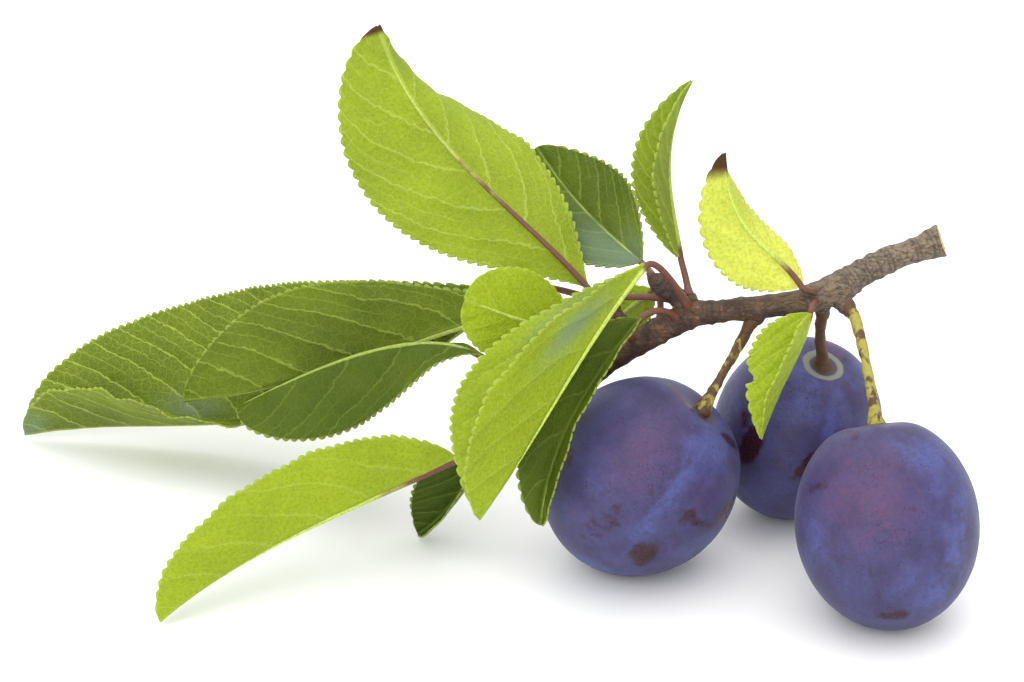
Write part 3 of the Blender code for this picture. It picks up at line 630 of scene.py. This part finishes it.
def leaf_material(look, upper):
    """The upper face, dark with sunken veins, or the underside, pale and matt with raised ones."""
    material, tree, shader = new_material("leaf_upper" if upper else "leaf_underside")
    chart = put(tree, "UVMap", uv_map="leaf_map").outputs[0]
    spot = object_place(tree)
    veins = use_group(tree, "Leaf Veins", {"Map": chart, "Place": spot})
    dark, pale = (look.upper_dark, look.upper_pale) if upper else (look.under_dark, look.under_pale)
    young = maths(tree, "ADD", attribute(tree, "young" if upper else "under"),
                  maths(tree, "MULTIPLY", maths(tree, "SUBTRACT", veins["Cloud"], 0.5), 0.5))
    blade = mixed(tree, step(tree, young, 0.0, 1.0), dark, pale)
    # Above 1, the blade is mixed towards bright yellow on either face: a painted glow of back light shining
    # through it.
    blade = mixed(tree, step(tree, young, 1.05, 1.6), blade, (0.78, 0.80, 0.16))
    fleck = grain(tree, spot, 1500.0, 2.0)
    blade = mixed(tree, step(tree, fleck, 0.35, 0.75, 0.0, 0.25), blade, dark)
    lines = attribute(tree, "lines")
    for part, share in (("Net", 0.34 if upper else 0.14), ("Vein", 0.75 if upper else 0.5), ("Rib", 0.7)):
        blade = mixed(tree, maths(tree, "MULTIPLY", maths(tree, "MULTIPLY", veins[part], share), lines),
                      blade, look.vein)
    # Painted highlight: the vein colour is mixed in along the margin, where the margin catches the light.
    blade = mixed(tree, step(tree, attribute(tree, "margin_highlight"), 0.0, 0.4, 0.5, 0.0), blade, look.vein)
    # Painted sheen: at the bluish spots a pale blue highlight is mixed into the leaf colour, and a clear coat
    # lies on the same spots.
    wax = maths(tree, "MULTIPLY", attribute(tree, "wax"), step(tree, veins["Cloud"], 0.25, 0.6, 0.55, 1.0))
    blade = mixed(tree, maths(tree, "MULTIPLY", wax, 0.8), blade, look.wax)
    blade = mixed(tree, attribute(tree, "dry"), blade, (0.085, 0.035, 0.014))
    tree.links.new(blade, shader.inputs["Base Color"])
    tree.links.new(step(tree, veins["Cloud"], 0.3, 0.7, 0.36 if upper else 0.6, 0.5 if upper else 0.72),
                   shader.inputs["Roughness"])
    shader.inputs["Specular IOR Level"].default_value = 0.16 if upper else 0.08
    tree.links.new(maths(tree, "MULTIPLY", wax, 0.35), shader.inputs["Coat Weight"])
    shader.inputs["Coat Roughness"].default_value = 0.35
    sign = -1.0 if upper else 1.0
    height = maths(tree, "ADD", maths(tree, "MULTIPLY", veins["Height"], sign),
                   maths(tree, "MULTIPLY", fleck, 0.25))
    bump = put(tree, "Bump", {"Strength": 0.5, "Distance": 0.00018, "Height": height})
    tree.links.new(bump.outputs[0], shader.inputs["Normal"])
    through_light = mixed(tree, 1.0, blade, (1.7, 1.6, 0.8), "MULTIPLY")
    glow = put(tree, "BsdfTranslucent", {"Normal": bump.outputs[0], "Color": through_light})
    both = put(tree, "MixShader", {0: look.glow, 1: shader.outputs[0], 2: glow.outputs[0]})
    tree.links.new(both.outputs[0], tree.nodes["Material Output"].inputs["Surface"])
    return material


def petiole_material(look):
    material, tree, shader = new_material("petiole_skin")
    spot = object_place(tree)
    cloud = grain(tree, spot, 350.0, 4.0)
    red = maths(tree, "ADD", attribute(tree, "red"),
                maths(tree, "MULTIPLY", maths(tree, "SUBTRACT", cloud, 0.5), 0.7))
    green = mixed(tree, attribute(tree, "under"), look.under_dark, look.under_pale)
    skin = mixed(tree, step(tree, red, 0.1, 0.8), mixed(tree, 0.35, green, look.vein), look.petiole)
    lines = use_group(tree, "Fine Lines", {"Place": spot, "Scale": 900.0, "Width": 0.06})["Mask"]
    skin = mixed(tree, maths(tree, "MULTIPLY", lines, 0.35), skin, (0.04, 0.016, 0.008))
    tree.links.new(skin, shader.inputs["Base Color"])
    shader.inputs["Roughness"].default_value = 0.5
    bump = put(tree, "Bump", {"Strength": 0.3, "Distance": 0.0001, "Height": cloud})
    tree.links.new(bump.outputs[0], shader.inputs["Normal"])
    return material


def bark_material(look):
    material, tree, shader = new_material("twig_bark")
    spot = object_place(tree)
    cloud = grain(tree, spot, 240.0, 5.0, 0.65)
    fine = grain(tree, spot, 1100.0, 4.0, 0.7)
    bark = mixed(tree, step(tree, cloud, 0.38, 0.66), look.bark_dark, look.bark_brown)
    grey = maths(tree, "MULTIPLY", attribute(tree, "weathered"), step(tree, fine, 0.3, 0.62))
    bark = mixed(tree, grey, bark, look.bark_grey)
    cracks = use_group(tree, "Fine Lines", {"Place": stretched(tree, spot, (0.35, 1, 1), (0, 0.35, 0)),
                                            "Scale": 700.0, "Width": 0.05})["Mask"]
    bark = mixed(tree, maths(tree, "MULTIPLY", cracks, 0.7), bark, look.bark_dark)
    dots = use_group(tree, "Speckles", {"Place": spot, "Scale": 620.0, "Size": 0.2, "Share": 0.3})["Mask"]
    bark = mixed(tree, maths(tree, "MULTIPLY", dots, 0.55), bark, (0.26, 0.15, 0.07))
    bark = mixed(tree, maths(tree, "MULTIPLY", attribute(tree, "scar"), 0.6), bark, look.bark_dark)
    tree.links.new(bark, shader.inputs["Base Color"])
    tree.links.new(step(tree, fine, 0.3, 0.7, 0.5, 0.8), shader.inputs["Roughness"])
    height = maths(tree, "SUBTRACT", maths(tree, "ADD", fine, maths(tree, "MULTIPLY", dots, 0.4)),
                   maths(tree, "MULTIPLY", cracks, 0.7))
    bump = put(tree, "Bump", {"Strength": 0.7, "Distance": 0.0003, "Height": height})
    tree.links.new(bump.outputs[0], shader.inputs["Normal"])
    return material


def cut_material(look):
    material, tree, shader = new_material("twig_cut_wood")
    spot = object_place(tree)
    fibre = grain(tree, stretched(tree, spot, (1, 1, 0.25)), 1500.0, 4.0, 0.7)
    wood = mixed(tree, step(tree, fibre, 0.35, 0.7), look.cut_wood, (0.36, 0.24, 0.09))
    wood = mixed(tree, step(tree, grain(tree, spot, 380.0), 0.5, 0.7, 0.0, 0.5), wood, (0.23, 0.13, 0.05))
    tree.links.new(wood, shader.inputs["Base Color"])
    shader.inputs["Roughness"].default_value = 0.8
    bump = put(tree, "Bump", {"Strength": 0.6, "Distance": 0.0002, "Height": fibre})
    tree.links.new(bump.outputs[0], shader.inputs["Normal"])
    return material


def stalk_material(look):
    material, tree, shader = new_material("stalk_skin")
    spot = object_place(tree)
    cloud = grain(tree, stretched(tree, spot, (1, 1, 0.45)), 420.0, 4.0, 0.6, 0.4)
    fine = grain(tree, spot, 1600.0, 3.0, 0.7)
    brown = maths(tree, "ADD", attribute(tree, "brown"),
                  maths(tree, "MULTIPLY", maths(tree, "SUBTRACT", cloud, 0.5), 3.4))
    skin = mixed(tree, step(tree, brown, 0.35, 0.75), look.stalk_green, look.stalk_brown)
    skin = mixed(tree, step(tree, fine, 0.5, 0.75, 0.0, 0.5), skin, look.stalk_brown)
    tree.links.new(skin, shader.inputs["Base Color"])
    shader.inputs["Roughness"].default_value = 0.62
    bump = put(tree, "Bump", {"Strength": 0.6, "Distance": 0.0002, "Height": maths(tree, "ADD", fine, cloud)})
    tree.links.new(bump.outputs[0], shader.inputs["Normal"])
    return material


# Fruit

def mark_strength(directions, marks):
    """How strongly marks lie on the skin. directions point out of the plum, in the CAD frame."""
    tilt = math.radians(25)
    across = directions[:, 0]
    up = directions[:, 2] * math.cos(tilt) + directions[:, 1] * math.sin(tilt)
    towards = directions[:, 2] * math.sin(tilt) - directions[:, 1] * math.cos(tilt)
    total = np.zeros(len(directions))
    for x, y, wide, tall, turn, strength in marks:
        c, s = math.cos(math.radians(turn)), math.sin(math.radians(turn))
        right, rise = across - x, up - y
        reach = ((right * c + rise * s) / wide) ** 2 + ((rise * c - right * s) / tall) ** 2
        total = np.maximum(total, strength * np.exp(-reach * 0.7) * (towards > -0.1))
    return total


def make_plum(name, look, material):
    plum = PLUMS[name]
    clear_selection()
    bpy.ops.mesh.primitive_uv_sphere_add(segments=224, ring_count=132, radius=1)
    piece = named(name + "_skin")
    ball = normed(coordinates(piece.data))
    polar = np.arccos(np.clip(ball[:, 2], -1, 1))
    turn = np.arctan2(ball[:, 1], ball[:, 0])
    away = (turn - math.radians(plum["suture"]) + math.pi) % (2 * math.pi) - math.pi
    suture = look.suture_depth * 1.5 / MM * np.exp(-(away / 0.12) ** 2) * np.sin(polar) ** 0.6
    cavity = look.cavity_depth / MM * np.exp(-(polar / 0.33) ** 2)
    uneven = 0.22 * rough(ball, 1.3, 2) + 0.05 * rough(ball, 0.25, 2)
    across = (plum["radius"] - suture + uneven) * np.sin(polar)
    points = np.stack([across * np.cos(turn), across * np.sin(turn),
                       (plum["half_length"] + uneven) * ball[:, 2] - cavity], 1)
    to_axis = np.array(Vector(plum["axis"]).to_track_quat("Z", "Y").to_matrix())
    upright = normed(plum["axis"])[2]
    height = math.hypot(plum["half_length"] * upright, plum["radius"] * math.sqrt(1 - upright ** 2)) - 0.3
    points = points @ to_axis.T + (*plum["place"], height)
    points[:, 2] = np.maximum(points[:, 2], 0.02)
    move_points(piece.data, place(points))
    directions = normed(points - (*plum["place"], height))
    for kind in ("rubbed", "blue", "pink"):
        store(piece.data, kind, mark_strength(directions, plum[kind]))
    store(piece.data, "rim", plum["rim"] * np.exp(-((polar - 0.21) / 0.05) ** 2))
    store(piece.data, "pit", smooth(-polar, -0.2, -0.1))
    finish_piece(piece, name, [material])


# Leaves

def leaf_axes(leaf, u):
    """Midrib points at u, with the directions along the midrib, out of the face and to side b."""
    along = normed(through(leaf["rib"], u + 1e-4) - through(leaf["rib"], u - 1e-4))
    face = through(normed(leaf["face"]), u)
    face = normed(face - (face * along).sum(1)[:, None] * along)
    return through(leaf["rib"], u), along, face, np.cross(face, along)


def half_width(leaf, u, side):
    power = math.log(0.5) / math.log(leaf["widest"])
    fullness = leaf["full"][0] + (leaf["full"][1] - leaf["full"][0]) * u
    shape = np.maximum(np.sin(math.pi * np.clip(u, 0, 1) ** power), 0) ** fullness
    wide = shape * through(leaf["wide"][side], u)
    for where, spot, depth in leaf.get("bites", ()):
        if where == side:
            wide = wide - depth * np.exp(-((u - spot) / 0.022) ** 2)
    return np.maximum(wide, 0.45 - 0.25 * u)


def rib_length(leaf):
    points = through(leaf["rib"], np.linspace(0, 1, 60))
    return np.linalg.norm(np.diff(points, axis=0), axis=1).sum()


def side_veins(s, x, out, side_b, span):
    """A count of side veins that is whole on each vein, and the millimetres from one to the next."""
    apart = span / max(5, round(span / 12.5))
    wander = 0.16 * rough(np.stack([s, x, 7 * side_b], 1), 14.0, 2)
    number = (s - x * (1.0 + 0.65 * out)) / apart + 0.45 * side_b + wander
    return number, apart / np.hypot(1.0, 1.0 + 1.3 * out)


def make_leaf(name, look, materials, seed):
    leaf = LEAVES[name]
    chance = np.random.default_rng(seed)
    span = rib_length(leaf)
    middle = np.array([0.5])
    widest = max(half_width(leaf, middle, 0)[0], half_width(leaf, middle, 1)[0])
    teeth = max(12, round(span / (look.tooth_spacing / MM)))
    rows = teeth * 8
    columns = 2 * min(max(10, round(widest / 0.62)), 44)

    clear_selection()
    bpy.ops.mesh.primitive_grid_add(x_subdivisions=rows, y_subdivisions=columns, size=2)
    piece = named(name)
    grid = coordinates(piece.data)
    u = (grid[:, 0] + 1) / 2
    out = np.abs(grid[:, 1])
    side_b = grid[:, 1] >= 0
    sign = np.where(side_b, 1.0, -1.0)
    width = np.where(side_b, half_width(leaf, u, 1), half_width(leaf, u, 0))

    phase = (u * teeth + 0.37 * side_b) % 1.0
    tooth = np.sin(math.pi * phase ** 1.5) ** 0.65 - 0.4
    tall = leaf.get("teeth", look.tooth_height / MM) * np.minimum(width / 6.0, 1.0)
    x = out * width
    x = x + tooth * tall * smooth(x, width - 1.9, width) * smooth(u, 0.02, 0.06) * (out > 0)
    s = u * span

    number, pace = side_veins(s, x, out, side_b, span)
    from_vein = np.abs(number - np.round(number)) * pace

    fold = np.where(side_b, np.radians(through(leaf["fold"][1], u)), np.radians(through(leaf["fold"][0], u)))
    curl = np.where(side_b, np.radians(through(leaf["curl"][1], u)), np.radians(through(leaf["curl"][0], u)))
    curl = np.where(np.abs(curl) < 1e-3, 1e-3, curl)
    angle = fold + curl * x / width
    middle, along, face, side_way = leaf_axes(leaf, u)
    sideways = width / curl * (np.sin(angle) - np.sin(fold)) * sign
    upwards = width / curl * (np.cos(fold) - np.cos(angle))
    normal = face * np.cos(angle)[:, None] - side_way * (sign * np.sin(angle))[:, None]

    near_rib = smooth(x, 0.3, 2.5) * (1 - 0.8 * out ** 6)
    lift = look.pillow / MM * (smooth(from_vein, 0.0, 2.6) - 0.4) * near_rib
    lift = lift - look.vein_depth / MM * np.exp(-(from_vein / 0.55) ** 2) * near_rib
    lift = lift - 0.2 * np.exp(-(x / 0.7) ** 2)
    lift = lift + 0.12 * rough(np.stack([s, x * sign, 0 * s], 1), 5.0, 2)
    waves = np.sin(2 * math.pi * (s / 17 + 0.31 * side_b + chance.uniform()))
    waves = waves + 0.6 * np.sin(2 * math.pi * (s / 9.5 + chance.uniform()) + 2.0 * side_b)
    lift = lift + leaf["wave"] * waves * out ** 2 * smooth(u, 0.0, 0.15) * smooth(1 - u, 0.0, 0.1)
    points = middle + side_way * sideways[:, None] + face * upwards[:, None] + normal * lift[:, None]
    points[:, 2] = np.maximum(points[:, 2], 0.45)
    move_points(piece.data, place(points))

    store(piece.data, "branch", number)
    store(piece.data, "pace", pace)
    store(piece.data, "out", out)
    store(piece.data, "rib", x)
    # Distance in from the margin, for the painted highlight along it.
    store(piece.data, "margin_highlight", np.maximum(width - x, 0) + 0.2 * (tooth < -0.2))
    store(piece.data, "young", np.full(len(u), leaf["young"]))
    store(piece.data, "under", np.full(len(u), leaf.get("under", leaf["young"])))
    store(piece.data, "lines", np.full(len(u), leaf.get("lines", 0.4)))
    dry = leaf.get("brown", 0)
    store(piece.data, "dry", smooth(s, span - dry * 1.2 - 0.2, span - dry * 0.5) * (dry > 0))
    # Spots of painted bluish sheen, which the leaf materials read for colour and clear coat.
    wax = np.zeros(len(u))
    for side, where, out_there, long, wide, strength in leaf.get("wax", ()):
        gap = ((u - where) * span / long) ** 2 + ((out - out_there) * width / wide) ** 2
        wax = np.maximum(wax, strength * np.exp(-gap) * ((side == 1) == side_b))
    store(piece.data, "wax", wax)
    store(piece.data, "red", np.zeros(len(u)))
    chart = piece.data.uv_layers.active
    chart.name = "leaf_map"
    corners = np.empty(len(piece.data.loops), int)
    piece.data.loops.foreach_get("vertex_index", corners)
    spots = np.stack([s / 100, 0.5 + x * sign / 100], 1)[corners]
    chart.data.foreach_set("uv", spots.ravel())
    apply_modifier(piece, "SOLIDIFY", thickness=look.thickness, offset=-1, material_offset=1,
                   material_offset_rim=1, use_even_offset=False)

    stem = leaf_stem(name, leaf)
    for polygon in stem.data.polygons:
        polygon.material_index = 2
    for material in materials:
        stem.data.materials.append(material)
    for material in materials:
        piece.data.materials.append(material)
    piece = join(name + "_leaf", [piece, stem])
    indices = np.empty(len(piece.data.polygons), int)
    piece.data.polygons.foreach_get("material_index", indices)
    finish_piece(piece, name, materials)
    piece.data.polygons.foreach_set("material_index", indices)


def leaf_stem(name, leaf):
    """Petiole from the twig, running on below the blade as its raised midrib."""
    base, along, face, _ = (part[0] for part in leaf_axes(leaf, np.array([0.0])))
    root, bend = (np.array(p) for p in leaf["stem"])
    reach = 0.4 * np.linalg.norm(base - bend)
    behind = base - face * 0.8
    a, b, c, d = root, bend, behind - along * reach, behind
    route = []
    for t in np.linspace(0, 1, 26)[:-1]:
        middle = (1 - t) ** 3 * a + 3 * (1 - t) ** 2 * t * b + 3 * (1 - t) * t * t * c + t ** 3 * d
        route.append((*middle, 0.78 + 0.45 * math.exp(-(t / 0.12) ** 2) - 0.1 * t))
    count = 40
    for u in np.linspace(0, 0.97, count):
        middle, _, out, _ = (part[0] for part in leaf_axes(leaf, np.array([u])))
        radius = 0.6 * (1 - u) ** 0.8 + 0.08
        sunk = 0.14 + radius
        route.append((*(middle - out * sunk), radius))
    stem = tube(name + "_stem", route, 14)
    along = np.empty(len(stem.data.vertices), np.float32)
    stem.data.attributes["along"].data.foreach_get("value", along)
    blade_start = 25 / len(route)
    on_blade = np.maximum(along - blade_start, 0) / (1 - blade_start)
    store(stem.data, "red", 1.2 - on_blade / leaf.get("red", 0.1))
    store(stem.data, "under", np.full(len(along), leaf.get("under", leaf["young"])))
    return stem


# Wood

def make_twig(look, materials):
    tubes = []
    for key, (points, scars) in TWIG.items():
        route = smooth_route(points, 10)
        part = np.linspace(0, 1, len(route))
        total = np.linalg.norm(np.diff(route[:, :3], axis=0), axis=1).sum()
        for scar in scars:
            route[:, 3] += 0.28 * np.exp(-((part - scar) * total / 0.55) ** 2)
        tubes.append(tube(key, route, 24))
    piece = join("twig_wood", tubes)
    apply_modifier(piece, "REMESH", mode="VOXEL", voxel_size=look.voxel)
    apply_modifier(piece, "SMOOTH", factor=0.5, iterations=3)
    points = coordinates(piece.data)
    normals = np.empty(len(points) * 3)
    piece.data.vertices.foreach_get("normal", normals)
    normals = normals.reshape(-1, 3)
    bumps = rough(points * (0.4, 1, 1), 0.0012, 3)
    bulges = rough(points, 0.006, 2)
    move_points(piece.data, points + normals * (bumps * 0.00022 + bulges * 0.00035)[:, None])
    select_only(piece)
    bpy.ops.object.mode_set(mode="EDIT")
    bpy.ops.mesh.select_all(action="SELECT")
    bpy.ops.mesh.bisect(plane_co=place(CUT_PLACE), plane_no=CUT_FACES, use_fill=True, clear_outer=True)
    bpy.ops.mesh.inset(thickness=0.0004, depth=0.0)
    bpy.ops.mesh.poke()
    bpy.ops.object.mode_set(mode="OBJECT")
    mesh = piece.data
    flat = np.empty(len(mesh.polygons), bool)
    mesh.polygons.foreach_get("select", flat)
    points = coordinates(mesh)
    table = points / MM + ORIGIN
    store(mesh, "weathered", smooth(table[:, 0], 45, 80) * 0.9)
    scar = np.zeros(len(points))
    for tube_points, scars in TWIG.values():
        route = smooth_route(tube_points, 10)
        for part in scars:
            spot = route[round(part * (len(route) - 1))]
            gap = np.linalg.norm(table - spot[:3], axis=1)
            ahead = normed(np.gradient(route[:, :3], axis=0))[round(part * (len(route) - 1))]
            band = np.abs((table - spot[:3]) @ ahead)
            scar = np.maximum(scar, (gap < spot[3] + 1.2) * np.exp(-((band - 0.5) / 0.25) ** 2))
    store(mesh, "scar", scar)
    finish_piece(piece, "twig", materials, math.radians(60))
    mesh.polygons.foreach_set("material_index", flat.astype(int))


def make_stalk(name, look, material):
    route = smooth_route(STALKS[name], 14)
    piece = tube(name + "_skin", route, 28)
    points = coordinates(piece.data)
    normals = np.empty(len(points) * 3)
    piece.data.vertices.foreach_get("normal", normals)
    bumps = rough(points, 0.0011, 3) * 0.00014 + rough(points, 0.003, 2) * 0.0002
    move_points(piece.data, points + normals.reshape(-1, 3) * bumps[:, None])
    part = np.empty(len(points), np.float32)
    piece.data.attributes["along"].data.foreach_get("value", part)
    base = {"stalk_left": 0.75, "stalk_back": 1.1, "stalk_front": 0.4}[name]
    store(piece.data, "brown", base + 0.5 * smooth(-part, -0.35, -0.1) + 0.2 * smooth(part, 0.9, 1.0))
    finish_piece(piece, name, [material])


class PLUM_SPRIG_OT_groups(bpy.types.Operator):
    """Build the shader node groups that the materials share"""
    bl_idname = "plum_sprig.groups"
    bl_label = "Shared Node Groups"
    bl_options = {"REGISTER", "UNDO"}

    def execute(self, context):
        make_groups()
        return {"FINISHED"}


class PLUM_SPRIG_OT_plums(bpy.types.Operator):
    """Build the three plums with their cavities, sutures and bloom"""
    bl_idname = "plum_sprig.plums"
    bl_label = "Plums"
    bl_options = {"REGISTER", "UNDO"}

    def execute(self, context):
        look = context.scene.plum_look
        material = plum_material(look)
        for name in PLUMS:
            make_plum(name, look, material)
        return {"FINISHED"}


class PLUM_SPRIG_OT_leaves(bpy.types.Operator):
    """Build the fourteen leaves with their veins, teeth, midribs and petioles"""
    bl_idname = "plum_sprig.leaves"
    bl_label = "Leaves"
    bl_options = {"REGISTER", "UNDO"}

    def execute(self, context):
        look = context.scene.leaf_look
        materials = [leaf_material(look, True), leaf_material(look, False), petiole_material(look)]
        for seed, name in enumerate(LEAVES, 1):
            make_leaf(name, look, materials, seed)
        return {"FINISHED"}


class PLUM_SPRIG_OT_twig(bpy.types.Operator):
    """Build the twig with its spurs, bud, ring scars and cut end"""
    bl_idname = "plum_sprig.twig"
    bl_label = "Twig"
    bl_options = {"REGISTER", "UNDO"}

    def execute(self, context):
        look = context.scene.wood_look
        make_twig(look, [bark_material(look), cut_material(look)])
        return {"FINISHED"}


class PLUM_SPRIG_OT_stalks(bpy.types.Operator):
    """Build the three fruit stalks"""
    bl_idname = "plum_sprig.stalks"
    bl_label = "Fruit Stalks"
    bl_options = {"REGISTER", "UNDO"}

    def execute(self, context):
        look = context.scene.wood_look
        material = stalk_material(look)
        for name in STALKS:
            make_stalk(name, look, material)
        return {"FINISHED"}


class PLUM_SPRIG_OT_stage(bpy.types.Operator):
    """Build the white floor, the soft lights and the camera"""
    bl_idname = "plum_sprig.stage"
    bl_label = "Stage"
    bl_options = {"REGISTER", "UNDO"}

    def execute(self, context):
        look = context.scene.studio_look
        scene = context.scene
        clear_selection()
        bpy.ops.mesh.primitive_plane_add(size=5, location=(0, 0, 0))
        floor = named("studio_floor")
        material, tree, shader = new_material("floor_white")
        shader.inputs["Base Color"].default_value = (*look.floor, 1)
        shader.inputs["Roughness"].default_value = 0.6
        shader.inputs["Specular IOR Level"].default_value = 0.2
        floor.data.materials.append(material)
        world = bpy.data.worlds.new("studio_sky")
        world.use_nodes = True
        world.node_tree.nodes["Background"].inputs["Color"].default_value = (1, 1, 1, 1)
        world.node_tree.nodes["Background"].inputs["Strength"].default_value = look.sky
        scene.world = world
        lamps = (("top_lamp", (0.0, 0.05, 1.1), 1.4, look.top_light),
                 ("front_lamp", (-0.35, -1.0, 0.7), 0.9, look.front_light),
                 ("back_lamp", (-0.25, 0.9, 0.7), 0.9, look.back_light))
        for name, spot, size, power in lamps:
            bpy.ops.object.light_add(type="AREA", location=spot)
            lamp = bpy.context.object
            lamp.name = name
            lamp.data.size = size
            lamp.data.energy = power
            lamp.rotation_euler = (Vector((0, 0, 0.03)) - Vector(spot)).to_track_quat("-Z", "Y").to_euler()
        bpy.ops.object.camera_add(location=(0.009108, -0.574386, 0.3147))
        camera = bpy.context.object
        camera.name = "photo_camera"
        aim = Vector((0.009108, 0.014714, 0.040)) - camera.location
        camera.rotation_euler = aim.to_track_quat("-Z", "Y").to_euler()
        camera.data.lens = look.lens
        camera.data.sensor_width = 36
        camera.data.clip_start = 0.01
        scene.camera = camera
        scene.view_settings.view_transform = "Standard"
        scene.view_settings.look = "None"
        return {"FINISHED"}


class PLUM_SPRIG_PT_panel(bpy.types.Panel):
    """Lists the pieces of the sprig with their settings."""
    bl_idname = "PLUM_SPRIG_PT_panel"
    bl_label = "Plum Sprig"
    bl_space_type = "VIEW_3D"
    bl_region_type = "UI"
    bl_category = "Plum Sprig"

    def draw(self, context):
        layout = self.layout
        for operator in (PLUM_SPRIG_OT_groups, *PIECES, PLUM_SPRIG_OT_stage):
            layout.operator(operator.bl_idname)
        for group in LOOKS:
            box = layout.box()
            box.label(text=group.replace("_", " ").capitalize())
            look = getattr(context.scene, group)
            for key in look.bl_rna.properties.keys():
                if key not in ("rna_type", "name"):
                    box.prop(look, key)


LOOKS = {"plum_look": PlumLook, "leaf_look": LeafLook, "wood_look": WoodLook, "studio_look": StudioLook}
PIECES = (PLUM_SPRIG_OT_plums, PLUM_SPRIG_OT_stalks, PLUM_SPRIG_OT_twig, PLUM_SPRIG_OT_leaves)
CLASSES = (*LOOKS.values(), PLUM_SPRIG_OT_groups, *PIECES, PLUM_SPRIG_OT_stage, PLUM_SPRIG_PT_panel)


def register():
    for item in CLASSES:
        bpy.utils.register_class(item)
    for key, group in LOOKS.items():
        setattr(bpy.types.Scene, key, bpy.props.PointerProperty(type=group))


def unregister():
    for key in LOOKS:
        delattr(bpy.types.Scene, key)
    for item in reversed(CLASSES):
        bpy.utils.unregister_class(item)


def main():
    register()
    bpy.ops.plum_sprig.groups()
    bpy.ops.plum_sprig.plums()
    bpy.ops.plum_sprig.stalks()
    bpy.ops.plum_sprig.twig()
    bpy.ops.plum_sprig.leaves()
    bpy.ops.plum_sprig.stage()


if __name__ == "__main__":
    main()
